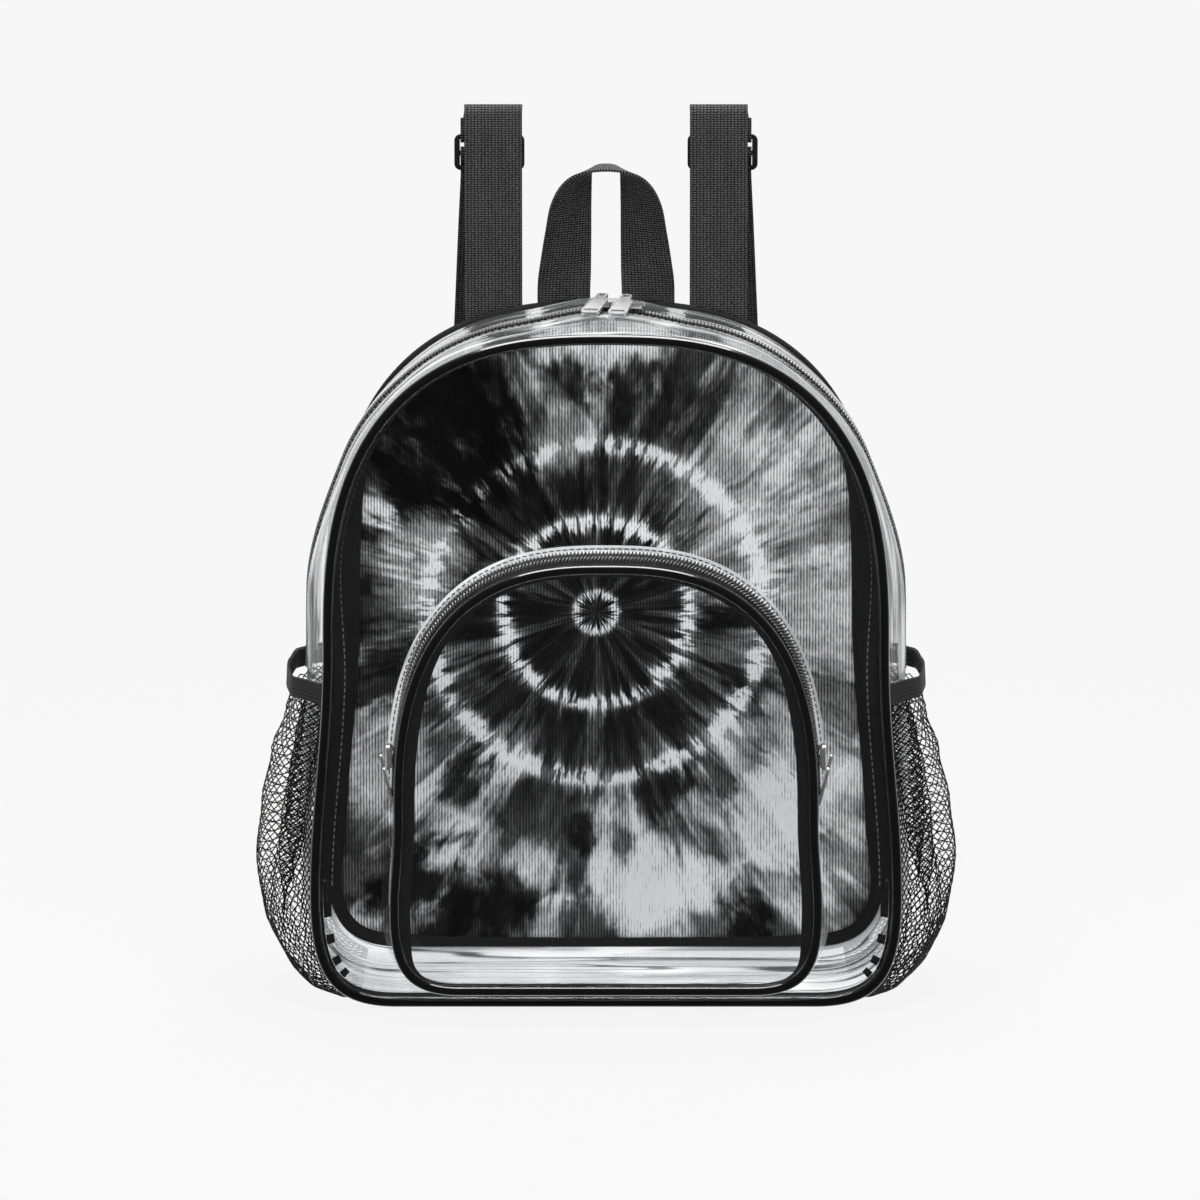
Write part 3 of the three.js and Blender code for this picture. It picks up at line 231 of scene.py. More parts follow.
class Outline:
    """An outline in XZ: from the base (0) up the right to the crest (1) and down the left (2)."""

    STEPS = 900

    def __init__(self, base, height, half_width, arch_start, flare, foot_height, base_inset):
        wide, foot, start = half_width + flare, base + foot_height, base + arch_start
        flat = wide - base_inset
        turn = np.linspace(0, math.pi / 2, 200)
        power = 2 / 2.65
        arch = np.stack([
            half_width * np.clip(np.cos(turn), 0, 1) ** power,
            start + (height - arch_start) * np.sin(turn) ** power,
        ], 1)
        half = np.vstack([
            np.stack([np.linspace(0, flat, 60), np.full(60, float(base))], 1),
            bezier((flat, base), (mix(flat, wide, 0.75), base),
                   (wide, mix(foot, base, 0.75)), (wide, foot))[1:],
            bezier((wide, foot), (wide, mix(foot, start, 0.35)),
                   (half_width, mix(foot, start, 0.6)), (half_width, start))[1:],
            arch[1:],
        ])
        self.length = np.linalg.norm(np.diff(half, axis=0), axis=1).sum()
        self.points = even(half, self.STEPS + 1)
        self.points[-1, 0] = 0
        ends = np.vstack([self.points[1:2] * [-1, 1], self.points, self.points[-2:-1] * [-1, 1]])
        run = unit(ends[2:] - ends[:-2])
        self.normals = np.stack([run[:, 1], -run[:, 0]], 1)
        self.shares = np.linspace(0, 1, self.STEPS + 1)
        self.centre = (0.0, base + height / 2)

    def at(self, s):
        side = np.where(np.mod(s, 2) > 1, -1.0, 1.0)
        half = half_share(s)
        x, z = (np.interp(half, self.shares, self.points[:, k]) for k in (0, 1))
        n = unit(np.stack([np.interp(half, self.shares, self.normals[:, k]) for k in (0, 1)], -1))
        return side * x, z, side * n[..., 0], n[..., 1]

    def share_at_height(self, z):
        return float(np.interp(z, self.points[:, 1], self.shares))

    def reach(self, x, z):
        """How far out a point lies, from the centre (0) to the outline (1)."""
        across, up = self.points[::-1, 0], self.points[::-1, 1] - self.centre[1]
        rise = z - self.centre[1]
        far = np.interp(np.arctan2(np.abs(x), rise), np.arctan2(across, up), np.hypot(across, up))
        return np.hypot(x, rise) / far


body_line = Outline(0, HEIGHT, HALF_WIDTH, 165, 6.5, 49, 37)
pocket_line = Outline(12, 194, 94, 79, 2, 36, 30)
# Places of the zippers' ends on the outlines, and of the pieces above them, a hair further up
ZIPPER_SHARE = body_line.share_at_height(ZIPPER_END)
ZIPPER_ENDS = (ZIPPER_SHARE + 0.001, 2 - ZIPPER_SHARE - 0.001)
POCKET_ZIPPER_SHARE = pocket_line.share_at_height(POCKET_ZIPPER_END)
POCKET_ZIPPER_ENDS = (POCKET_ZIPPER_SHARE + 0.001, 2 - POCKET_ZIPPER_SHARE - 0.001)
NET_SHARE = 0.222
NET_TOP_SHARE = body_line.share_at_height(NET_TOP)


def gusset(s, y, lift=0):
    """Points of the body's gusset at shares of the outline and depths, lifted along the normal."""
    x, z, nx, nz = body_line.at(s)
    depth = (y - FRONT_Y) / DEPTH
    rise = smooth(np.minimum(depth, 1 - depth) / 0.22)
    out = SIDE_BULGE * look_up(GUSSET_ALONG, GUSSET_BULGE, half_share(s)) * rise + lift
    return np.stack(np.broadcast_arrays(x + nx * out, y, z + nz * out), -1)


def front_plane(x, z):
    return FRONT_Y - FRONT_CROWN * (1 - np.clip(body_line.reach(x, z), 0, 1) ** 3)


def pocket_gusset(s, away, lift=0):
    """Points of the pocket's gusset, at a distance before the front panel. Under 0 it is the hem."""
    x, z, nx, nz = pocket_line.at(s)
    depth = np.maximum(0, away) / POCKET_DEPTH
    crown = look_up(POCKET_AWAY, POCKET_OUT, np.maximum(0, away))
    share = smooth((half_share(s) - 0.6) / 0.14)
    out = mix(3 * (1 - depth), crown, share) + np.maximum(0, -away) + lift
    px, pz = x + nx * out, z + nz * out
    y = mix(front_plane(px, pz) - 1.5, POCKET_Y, depth)
    return np.stack(np.broadcast_arrays(px, y, pz), -1)


def net_depth(across):
    """The depth of places across a side pocket, and how far its arch stands out there."""
    front, back = FRONT_Y + SEAM_GAP + 0.3, BACK_Y - SEAM_GAP - 0.3
    y = mix(front, back, (1 - np.cos(math.pi * across)) / 2)
    return y, np.clip(np.sin(math.pi * (y - front) / (back - front)), 0, 1) ** 0.75


def net_point(share, across, lift=0):
    """Points of the right side pocket's net, up its height (0 to 1) and across its depth (0 to 1)."""
    s = mix(NET_SHARE, NET_TOP_SHARE, share)
    y, arch = net_depth(across)
    seam = gusset(s, y, 1.7 + lift)
    seam[..., 0] += NET_REACH * look_up(NET_ALONG, NET_OUT, np.clip(share, 0, 1)) * arch
    seam[..., 2] -= NET_REACH * look_up(NET_ALONG, NET_SAG, np.clip(share, 0, 1)) * arch
    return seam


RIPPLE_WAVES = (95, 62, 41, 27)


def ripple(a, b, seed):
    """Gentle uneven waves over two running lengths in millimetres, within -1 and 1."""
    rng = np.random.default_rng(seed)
    total = np.zeros(np.broadcast(a, b).shape)
    for wave in RIPPLE_WAVES:
        turn, phase = rng.uniform(0, 2 * math.pi, 2)
        along = a * math.cos(turn) + b * math.sin(turn)
        total = total + wave * np.sin(2 * math.pi * along / wave + phase)
    return total / sum(RIPPLE_WAVES)


# Meshes

def place(name, points, faces, finish, slot, uv=None, angle=40, replaces=(), body=BODY):
    """A finished piece from points in millimetres, on its body, with its material. The slot is not used.
    """
    points = (np.asarray(points, float) + SHIFT) * MM
    mesh = bpy.data.meshes.new(name)
    mesh.from_pydata(points.tolist(), [], [tuple(int(i) for i in f) for f in faces])
    if uv is not None:
        layer = mesh.uv_layers.new(name="UVMap")
        corners = np.empty(len(mesh.loops), int)
        mesh.loops.foreach_get("vertex_index", corners)
        layer.data.foreach_set("uv", np.asarray(uv, float)[corners].ravel())
    mesh.update()
    piece = bpy.data.objects.new(name, mesh)
    bpy.context.scene.collection.objects.link(piece)
    return finished(piece, finish, angle, replaces, body)


def select_only(piece):
    bpy.ops.object.select_all(action="DESELECT")
    piece.select_set(True)
    bpy.context.view_layer.objects.active = piece


def finished(piece, finish, angle=40, replaces=(), body=BODY):
    """Shades a piece, gives it its material, and sets it on its body."""
    select_only(piece)
    bpy.ops.object.shade_smooth_by_angle(angle=math.radians(angle))
    piece.data.materials.clear()
    piece.data.materials.append(finish)
    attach(piece, body)
    if replaces:
        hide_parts(*replaces)
    return piece


def outward(points, faces):
    """Faces turned, where needed, so that a closed mesh points out."""
    p = np.asarray(points)
    f = np.array([(q[0], q[i], q[i + 1]) for q in faces for i in range(1, len(q) - 1)])
    volume = np.einsum("ij,ij->i", p[f[:, 0]], np.cross(p[f[:, 1]], p[f[:, 2]])).sum()
    return [tuple(reversed(q)) for q in faces] if volume < 0 else list(faces)


def sheet_parts(grid, thickness, ring=False):
    """Points, faces and lengths of a closed sheet about a grid of points, its rows joined up if ring."""
    rows, columns = grid.shape[:2]
    if ring:
        along = np.roll(grid, -1, 0) - np.roll(grid, 1, 0)
    else:
        along = np.gradient(grid, axis=0)
    across = np.gradient(grid, axis=1)
    normal = unit(np.cross(along, across))
    points = np.concatenate([(grid + normal * thickness / 2).reshape(-1, 3),
                             (grid - normal * thickness / 2).reshape(-1, 3)])
    mid = grid[:, columns // 2]
    u = run_of(mid)
    v = np.concatenate([np.zeros((rows, 1)),
                        np.cumsum(np.linalg.norm(np.diff(grid, axis=1), axis=2), axis=1)], 1)
    uv = np.stack([np.broadcast_to(u[:, None], (rows, columns)), v], -1).reshape(-1, 2) * MM
    spot = np.arange(rows * columns).reshape(rows, columns)
    if ring:
        spot = np.vstack([spot, spot[:1]])
    a, b, c, d = spot[:-1, :-1], spot[:-1, 1:], spot[1:, 1:], spot[1:, :-1]
    top = np.stack([a, b, c, d], -1).reshape(-1, 4)
    under = np.stack([d, c, b, a], -1).reshape(-1, 4) + rows * columns
    faces = [*map(tuple, top), *map(tuple, under)]
    edges = [spot[:, 0], spot[::-1, -1]]
    if not ring:
        edges += [spot[0, ::-1], spot[-1]]
    n = rows * columns
    for edge in edges:
        faces += [(edge[i], edge[i + 1], edge[i + 1] + n, edge[i] + n) for i in range(len(edge) - 1)]
    return points, outward(points, faces), np.vstack([uv, uv])


def sheet(name, grid, thickness, finish, slot, ring=False, **more):
    points, faces, uv = sheet_parts(grid, thickness, ring)
    return place(name, points, faces, finish, slot, uv, **more)


def sweep(name, centres, outs, backs, section, finish, slot, **more):
    """A closed section, given as (out, back) pairs, swept round a closed ring."""
    steps, sides = len(centres), len(section)
    section = np.asarray(section, float)
    out, back = section[None, :, :1], section[None, :, 1:]
    points = centres[:, None] + outs[:, None] * out + backs[:, None] * back
    spot = np.arange(steps * sides).reshape(steps, sides)
    nxt, side = np.roll(spot, -1, 0), np.roll(spot, -1, 1)
    both = np.roll(nxt, -1, 1)
    faces = list(map(tuple, np.stack([spot, nxt, both, side], -1).reshape(-1, 4)))
    lengths = np.broadcast_arrays(run_of(centres)[:, None], run_of(section)[None, :])
    uv = np.stack(lengths, -1).reshape(-1, 2) * MM
    points = points.reshape(-1, 3)
    return place(name, points, outward(points, faces), finish, slot, uv, **more)


def panel(name, outline, inset, y, crown, thickness, finish, slot,
          bump=0, seed=1, rings=26, steps=300, **more):
    """A closed panel that fills an outline, crowned towards the front."""
    x, z, nx, nz = outline.at(np.linspace(0, 2, steps, endpoint=False))
    edge = np.stack([x - nx * inset, z - nz * inset], 1)
    ring = np.linspace(0, 1, rings + 1)[1:] ** 0.8
    cx, cz = outline.centre
    px, pz = mix(cx, edge[None, :, 0], ring[:, None]), mix(cz, edge[None, :, 1], ring[:, None])
    rise = crown * (1 - ring[:, None] ** 3) + bump * ripple(px, pz, seed) * (1 - ring[:, None] ** 8)
    middle = crown + bump * float(ripple(np.array(cx), np.array(cz), seed))
    points, n = [], 1 + rings * steps
    for way in (-1, 1):
        points.append(np.array([[cx, y - middle + way * thickness / 2, cz]]))
        points.append(np.stack([px, y - rise + way * thickness / 2, pz], -1).reshape(-1, 3))
    points = np.vstack(points)
    spot = 1 + np.arange(rings * steps).reshape(rings, steps)
    nxt = np.roll(spot, -1, 1)
    faces = [(0, spot[0, i], nxt[0, i]) for i in range(steps)]
    faces += [(n, n + nxt[0, i], n + spot[0, i]) for i in range(steps)]
    front = np.stack([spot[:-1], spot[1:], nxt[1:], nxt[:-1]], -1).reshape(-1, 4)
    faces += [*map(tuple, front), *map(tuple, front[:, ::-1] + n)]
    faces += [(spot[-1, i], n + spot[-1, i], n + nxt[-1, i], nxt[-1, i]) for i in range(steps)]
    uv = points[:, [0, 2]] * MM
    return place(name, points, outward(points, faces), finish, slot, uv, **more)


def rod(length, radius, sides=6, flat=1.0):
    """A small rounded rod along X: its points and faces."""
    tip, shoulder = length / 2, length / 2 - radius * 0.7
    rings = [(-tip, 0.45), (-shoulder, 1), (shoulder, 1), (tip, 0.45)]
    points = [(x, radius * k * math.cos(a), radius * flat * k * math.sin(a))
              for x, k in rings for a in np.linspace(0, 2 * math.pi, sides, endpoint=False)]
    faces = [tuple(reversed(range(sides))), tuple(range(3 * sides, 4 * sides))]
    for r in range(3):
        for i in range(sides):
            j = (i + 1) % sides
            faces.append((r * sides + i, r * sides + j, (r + 1) * sides + j, (r + 1) * sides + i))
    return np.array(points), outward(points, faces)


def scatter(name, shape, places, xs, ys, zs, finish, slot, **more):
    """Copies of one small shape at places, each turned to its own three axes."""
    points, faces = shape
    x, y, z = (points[None, :, k:k + 1] for k in range(3))
    turned = (places[:, None] + x * xs[:, None] + y * ys[:, None] + z * zs[:, None]).reshape(-1, 3)
    count = len(points)
    copies = [tuple(i + k * count for i in f) for k in range(len(places)) for f in faces]
    return place(name, turned, copies, finish, slot, angle=60, **more)


def struts(name, starts, ends, radius, finish, slot, **more):
    """Thin four-sided cords between pairs of points."""
    along = unit(ends - starts)
    side = unit(np.cross(along, np.array([0.31, 0.9, 0.3])))
    up = np.cross(along, side)
    corners = [end + way * radius for end in (starts, ends) for way in (side, up, -side, -up)]
    points = np.stack(corners, 1).reshape(-1, 3)
    faces = [(3, 2, 1, 0), (4, 5, 6, 7), (0, 1, 5, 4), (1, 2, 6, 5), (2, 3, 7, 6), (3, 0, 4, 7)]
    copies = [tuple(i + 8 * k for i in f) for k in range(len(starts)) for f in faces]
    return place(name, points, copies, finish, slot, angle=95, **more)


def stitch_row(path, normals):
    """Places and axes of stitches along a path of points with surface normals."""
    pitch = sizes().stitch_pitch / MM
    run = run_of(path)
    at = np.arange(pitch / 2, run[-1], pitch)

    def sample(values, places):
        return np.stack([np.interp(places, run, values[:, k]) for k in range(3)], 1)
    along = unit(sample(path, at + 0.5) - sample(path, at - 0.5))
    side = unit(np.cross(unit(sample(normals, at)), along))
    return sample(path, at), along, side, np.cross(along, side)


def join_rows(rows):
    return [np.concatenate(parts) for parts in zip(*rows)]


STITCH_RADIUS = 0.28


def stitches(name, rows, finish):
    spots, along, side, up = join_rows(rows)
    shape = rod(sizes().stitch_length / MM, STITCH_RADIUS, 5)
    return scatter(name, shape, spots, along, side, up, finish, "zipper_tape")


# Materials

class Value:
    """A number in a material's nodes. Python's operators on it add Math nodes."""

    def __init__(self, finish, socket):
        self.finish, self.socket = finish, socket

    def math(self, operation, *others, clamp=False):
        node = self.finish.nodes.new("ShaderNodeMath")
        node.operation = operation
        node.use_clamp = clamp
        for socket, value in zip(node.inputs, (self, *others)):
            self.finish.feed(socket, value)
        return Value(self.finish, node.outputs[0])

    def __add__(self, other):
        return self.math("ADD", other)

    def __sub__(self, other):
        return self.math("SUBTRACT", other)

    def __mul__(self, other):
        return self.math("MULTIPLY", other)

    def __truediv__(self, other):
        return self.math("DIVIDE", other)

    def __pow__(self, other):
        return self.math("POWER", other)

    def __neg__(self):
        return self.math("MULTIPLY", -1.0)

    def __rsub__(self, other):
        return (-self) + other

    def __rtruediv__(self, other):
        return self.finish.number(other).math("DIVIDE", self)

    __radd__ = __add__
    __rmul__ = __mul__

    def clamped(self):
        return self.math("ADD", 0.0, clamp=True)

    def ramp(self, low, high):
        """0 below low, 1 above high, and eased between them."""
        node = self.finish.nodes.new("ShaderNodeMapRange")
        node.interpolation_type = "SMOOTHSTEP"
        for key, value in (("Value", self), ("From Min", low), ("From Max", high)):
            self.finish.feed(node.inputs[key], value)
        return Value(self.finish, node.outputs["Result"])


class Finish:
    """A material, or the world, that is built from nodes."""

    def __init__(self, name, owner=None):
        self.owner = owner or bpy.data.materials.new(name)
        self.owner.use_nodes = True
        self.nodes = self.owner.node_tree.nodes
        self.links = self.owner.node_tree.links
        self.nodes.clear()

    def feed(self, socket, value):
        if isinstance(value, Value):
            value = value.socket
        if isinstance(value, bpy.types.NodeSocket):
            self.links.new(value, socket)
        elif value is not None:
            socket.default_value = value

    def node(self, kind, settings=None, inputs=None):
        node = self.nodes.new(kind)
        for key, value in (settings or {}).items():
            setattr(node, key, value)
        for key, value in (inputs or {}).items():
            self.feed(node.inputs[key], value)
        return node

    def colour(self, value):
        """A link as it is, or a plain colour with its alpha."""
        return value if isinstance(value, (Value, bpy.types.NodeSocket)) else (*value[:3], 1.0)

    def number(self, value):
        node = self.node("ShaderNodeValue")
        node.outputs[0].default_value = value
        return Value(self, node.outputs[0])

    def noise(self, vector, scale, detail=2.0, rough=0.5, distortion=0.0):
        node = self.node("ShaderNodeTexNoise", {"noise_dimensions": "3D"}, {
            "Vector": vector, "Scale": scale, "Detail": detail,
            "Roughness": rough, "Distortion": distortion})
        return Value(self, node.outputs["Fac"])

    def solid_noise(self, scale, detail=2.0, rough=0.5, distortion=0.0):
        """Noise on the object's own coordinates."""
        return self.noise(self.object_place()[0], scale, detail, rough, distortion)

    def wave(self, place, pitch):
        """Even waves from 0 to 1 along a place, of that pitch."""
        return (place * (2 * math.pi / pitch)).math("SINE") * 0.5 + 0.5

    def object_place(self):
        """The object's own coordinates, in metres, as a vector and as three numbers."""
        vector = self.node("ShaderNodeTexCoord").outputs["Object"]
        parts = self.node("ShaderNodeSeparateXYZ", inputs={0: vector}).outputs
        return vector, Value(self, parts[0]), Value(self, parts[1]), Value(self, parts[2])

    def uv_place(self):
        """The lengths along and across a strip, in metres."""
        vector = self.node("ShaderNodeTexCoord").outputs["UV"]
        parts = self.node("ShaderNodeSeparateXYZ", inputs={0: vector}).outputs
        return Value(self, parts[0]), Value(self, parts[1])

    def vector(self, x, y, z):
        return self.node("ShaderNodeCombineXYZ", inputs={0: x, 1: y, 2: z}).outputs[0]

    def blend(self, share, low, high):
        """A colour between two others."""
        node = self.node("ShaderNodeMix", {"data_type": "RGBA"})
        for key, value in ((0, share), (6, self.colour(low)), (7, self.colour(high))):
            self.feed(node.inputs[key], value)
        return node.outputs[2]

    def bump(self, height, strength, distance):
        return self.node("ShaderNodeBump", inputs={
            "Strength": strength, "Distance": distance, "Height": height}).outputs["Normal"]

    def principled(self, inputs):
        colour = self.colour(inputs["Base Color"])
        return self.node("ShaderNodeBsdfPrincipled", inputs={**inputs, "Base Color": colour}).outputs[0]

    def mixed(self, share, low, high):
        """A shader between two others."""
        return self.node("ShaderNodeMixShader", inputs={0: share, 1: low, 2: high}).outputs[0]

    def end(self, shader, kind="ShaderNodeOutputMaterial"):
        self.node(kind, inputs={"Surface": shader})
        return self.owner

    def surface(self, inputs):
        """Ends the material in a Principled shader."""
        return self.end(self.principled(inputs))


made = {}


def finish(name):
    """The material of that name, built once."""
    if name not in made:
        made[name] = MAKERS[name]()
    return made[name]


def clear_vinyl(name, dent, streak=0.0, painted_highlight=0.0, across=85.0, painted_dark_line=0.7,
                fade=None, glow=0.0, least=0.1):
    """Clear sheet with dents. A strip has long creases too, which show most at a glancing angle.

    Streak is the height of the creases and across how close they lie. The painted highlight is how
    bright the milky white along them is, a painted highlight and painted reflection, the painted dark
    line how black the dark lines of painted reflection are, and least the share of both that is left
    face on. Glow is a painted glow, light given off by the milky white though it is no lamp. Fade
    gives two heights in metres between which the milky white ends."""
    f = Finish(name)
    vector, _, _, height_up = f.object_place()
    facing = Value(f, f.node("ShaderNodeLayerWeight", inputs={"Blend": 0.5}).outputs["Facing"])
    height = f.noise(vector, 38.0, 2.0, 0.5) * dent
    if streak:
        u, v = f.uv_place()
        creases = f.noise(f.vector(u * 6.0, v * across, 0.0), 1.0, 2.0, 0.5, 0.5)
        line_noise = f.noise(f.vector(u * 5.0, v * across * 1.7, 3.0), 1.0, 1.0, 0.5, 0.3)
        height = height + creases * streak
    normal = f.bump(height, 1.0, 0.001)
    gloss = f.principled({
        "Base Color": (0.95, 0.96, 0.97), "Metallic": 1.0, "Roughness": 0.07, "Normal": normal})
    # A milky white shader: the clear sheet's own faint milkiness, and along the creases a painted
    # highlight and painted reflection.
    haze_and_painted_highlight = f.principled({
        "Base Color": (0.8, 0.805, 0.81), "Roughness": 0.3, "Normal": normal,
        # Emission here is a painted glow: the milky white gives off light though it is no lamp.
        "Emission Color": (1.0, 1.0, 1.0, 1), "Emission Strength": glow})
    through = f.node("ShaderNodeBsdfTransparent", inputs={"Color": (0.985, 0.987, 0.99, 1)}).outputs[0]
    haze_and_highlight_share = 0.0006
    if streak:
        # Near-black lines along the creases, shown where the line noise is near its middle: painted dark
        # reflections.
        shade = f.principled({"Base Color": (0.015, 0.015, 0.015), "Roughness": 0.25, "Normal": normal})
        glancing = facing.ramp(0.2, 0.78) * (1 - least) + least
        line = (1.0 - (line_noise - 0.5).math("ABSOLUTE").ramp(0.006, 0.026)) * glancing
        # Milky white along the creases, and all over the strip by the painted highlight: painted
        # highlight and painted reflection, weaker face on.
        haze_and_highlight_share = (creases.ramp(0.51, 0.58) * (painted_highlight * 0.3 + 0.5) + painted_highlight * 0.45).clamped()
        haze_and_highlight_share = haze_and_highlight_share * (1.0 - line * painted_dark_line) * glancing
        if fade:
            haze_and_highlight_share = haze_and_highlight_share * (1.0 - height_up.ramp(*fade) * 0.9)
        through = f.mixed(line * painted_dark_line, through, shade)
    shine = facing ** 5.0 * 0.85 + 0.022
    return f.end(f.mixed(shine, f.mixed(haze_and_highlight_share, through, haze_and_painted_highlight), gloss))


# The print's middle and the pitches of its ribs and its weft, in metres
PRINT_X = -0.0047
PRINT_Z = 0.164
RIB_PITCH = 0.00142
WEFT_PITCH = 0.0009
# Light rings of the print: radius, width, strength, and how far paler ground reaches outside it
PRINT_RINGS = (
    (9.4, 1.3, 0.7, 3.5),
    (43.7, 2.3, 0.95, 12.0),
    (79.8, 2.9, 1.0, 20.0),
    (138.0, 1.0, 0.16, 9.0),
)
# Broad light and dark patches of the print: place, reach and strength, in millimetres from its middle
PRINT_LOBES = (
    (-72, 84, 54, -0.95),
    (-8, 110, 18, -0.8),
    (18, 112, 13, -0.8),
    (-104, -28, 26, -0.75),
    (-28, 104, 11, 0.16),
    (-18, 84, 16, 0.34),
    (84, 60, 44, 0.34),
    (60, 30, 22, 0.25),
    (112, 4, 30, 0.32),
    (-82, 22, 20, 0.36),
    (-98, -76, 26, 0.5),
    (-60, -74, 17, -0.85),
    (-62, -112, 17, 0.62),
    (-26, -122, 15, 0.8),
    (14, -96, 10, 0.6),
    (-82, -136, 29, -0.93),
    (-48, -144, 20, -0.85),
    (20, -130, 23, 1.0),
    (-7, -106, 11, -0.85),
    (33, -86, 17, -0.75),
    (82, -96, 22, 1.0),
    (50, -128, 16, 0.7),
    (70, -146, 17, -0.94),
    (108, -60, 28, 0.32),
    (112, -120, 18, 0.28),
)


def printed_cloth():
    """Dyed cloth: jagged rings and spokes, patches of light and dark, and a ribbed weave with painted
    shade in its grooves.
    """
    f = Finish("printed_cloth")
    c = colours()
    vector, x, y, z = f.object_place()
    px, pz = (x - PRINT_X) / MM, (z - PRINT_Z) / MM
    r = (px * px + pz * pz + 0.01).math("SQRT")
    dx, dz = px / r, pz / r
    wide = f.noise(f.vector(dx * 2.6, dz * 2.6, r * 0.013), 1.0, 3.0, 0.55)
    middle = f.noise(f.vector(dx * 6.5, dz * 6.5, r * 0.03), 1.0, 3.0, 0.55, 0.3)
    fine = f.noise(f.vector(dx * 15.0, dz * 15.0, r * 0.06), 1.0, 3.0, 0.6, 0.3)
    blot = f.noise(vector, 24.0, 4.0, 0.6, 0.5)
    wedge = f.noise(f.vector(dx * 4.4, dz * 4.4, r * 0.007 + 5.0), 1.0, 4.0, 0.6, 0.15)
    sectors = wedge.ramp(0.45, 0.55)
    ragged = r + (fine - 0.5) * 8.0 + (middle - 0.5) * 9.0
    spokes = middle.ramp(0.4, 0.66) * 0.3 + fine.ramp(0.45, 0.7) * 0.12
    patches = wide.ramp(0.4, 0.68) * 0.34 + blot.ramp(0.42, 0.7) * 0.22
    shown = sectors * 0.75 + 0.25
    torn = (middle - 0.5) * 3.6 + (fine - 0.5) * 3.2
    far = r.ramp(50.0, 115.0) * 1.4
    tone = 0.008 + spokes * (0.35 + r.ramp(30.0, 120.0) * 0.7) * shown + patches * far * shown
    crossing = 1.0 - fine.ramp(0.53, 0.43) * 0.85
    for radius, width, glow, halo in PRINT_RINGS:
        past = ragged - radius
        band = 1.0 / (1.0 + (past / (width * (0.2 + middle * 1.9))) ** 4.0)
        outside = past.ramp(0.0, 1.2) * (1.0 - past.ramp(1.0, halo)) * middle.ramp(0.46, 0.58)
        tone = tone + (band * glow + outside * shown * 0.6) * crossing
    streaked = fine * 1.2 + sectors * 0.35 + 0.1
    for lx, lz, reach, amount in PRINT_LOBES:
        ex, ez = (px - lx + (blot - 0.5) * 26.0) / reach, (pz - lz + (wide - 0.5) * 26.0) / reach
        lobe = 1.0 - (ex * ex + ez * ez + torn).ramp(0.1, 1.5)
        tone = tone * (1.0 + lobe * amount) if amount < 0 else tone + lobe * amount * streaked
    rib = f.wave(px, RIB_PITCH / MM)
    slub = f.noise(f.vector(px * 0.7, y, pz * 0.12), 1.6, 3.0, 0.65)
    grain = f.noise(f.vector(px * 2.4, y, pz * 0.5), 1.0, 2.0, 0.7)
    # The tone is darker in the grooves between the ribs, a painted shade, and uneven with slubs and
    # grain.
    mottled = tone * (0.45 + rib * 0.7 + (slub - 0.5) * 1.2 + (grain - 0.5) * 0.8)
    contrast = mottled.ramp(0.03, 0.8) * 0.75 + mottled * 0.35
    colour = f.blend(contrast.clamped(), c.print_dark, c.print_light)
    weave = rib * 0.7 + slub * 0.6 + f.wave(pz, WEFT_PITCH / MM) * 0.24
    return f.surface({"Base Color": colour, "Roughness": 0.85, "Specular IOR Level": 0.01,
                      "Normal": f.bump(weave, 0.35, 0.0004)})


def glossy_piping():
    f = Finish("black_piping")
    scuff, grain = f.solid_noise(140.0, 3.0, 0.6), f.solid_noise(900.0)
    base = colours().piping
    return f.surface({"Base Color": f.blend(scuff, base, [k * 1.7 for k in base]),
                      "Roughness": scuff * 0.1 + 0.1, "Specular IOR Level": 0.5, "Coat Weight": 0.8,
                      "Coat Roughness": 0.05, "Normal": f.bump(grain + scuff * 2.0, 0.06, 0.0004)})


def woven_tape(name, shade, pitch):
    """Tape with the tape's colour times shade. Its warp has that pitch in metres."""
    f = Finish(name)
    u, v = f.uv_place()
    height = f.wave(v, pitch) * 0.6 + f.wave(u, pitch * 0.8) * 0.4 + f.solid_noise(700.0, 2.0, 0.6) * 0.5
    base = [k * shade for k in colours().tape]
    # Lighter where the weave stands higher: a painted highlight on the raised threads; the noise makes it
    # uneven.
    return f.surface({"Base Color": f.blend((height * 0.7).clamped(), base, [k * 3.2 for k in base]),
                      "Roughness": 0.72, "Specular IOR Level": 0.14,
                      "Normal": f.bump(height, 0.5, 0.0003)})


# Width of the webbing's ribs and length of one pick, in metres
WEBBING_RIB = 0.0016
WEBBING_PICK = 0.00108


def webbing():
    """Ribs along the strap, crossed by slanting picks that are shifted on every other rib. The picks'
    tops are painted lighter and the gaps between rows near black: painted highlight and painted shade.
    """
    f = Finish("webbing")
    u, v = f.uv_place()
    across = v * (1 / WEBBING_RIB)
    column = across.math("FLOOR")
    rib = across.math("FRACT") * 2.0 - 1.0
    step = column.math("MODULO", 2.0) * 0.5
    pick = (u * (1 / WEBBING_PICK) + step * 0.36 + rib * 0.16).math("FRACT") * 2.0 - 1.0
    loop = (1.0 - pick * pick) * (1.0 - rib * rib * rib * rib * 0.5)
    fuzz = f.solid_noise(900.0, 2.0, 0.6)
    shade = f.noise(f.vector(u * 0.3, v, 0.0), 130.0, 2.0, 0.5)
    # Pale on the tops of the loops and near black between them: painted highlight and painted shade on
    # the weave; the noises make it uneven.
    light = loop.ramp(0.5, 0.95) * (0.4 + fuzz * 0.9) * (0.5 + shade * 0.6)
    base = colours().webbing
    colour = f.blend(light.clamped(), [k * 0.12 for k in base], [k * 6.0 for k in base])
    return f.surface({"Base Color": colour, "Roughness": 0.62, "Specular IOR Level": 0.22,
                      "Normal": f.bump(loop + fuzz * 0.25, 0.7, 0.0005)})


ELASTIC_PITCH = 0.0009


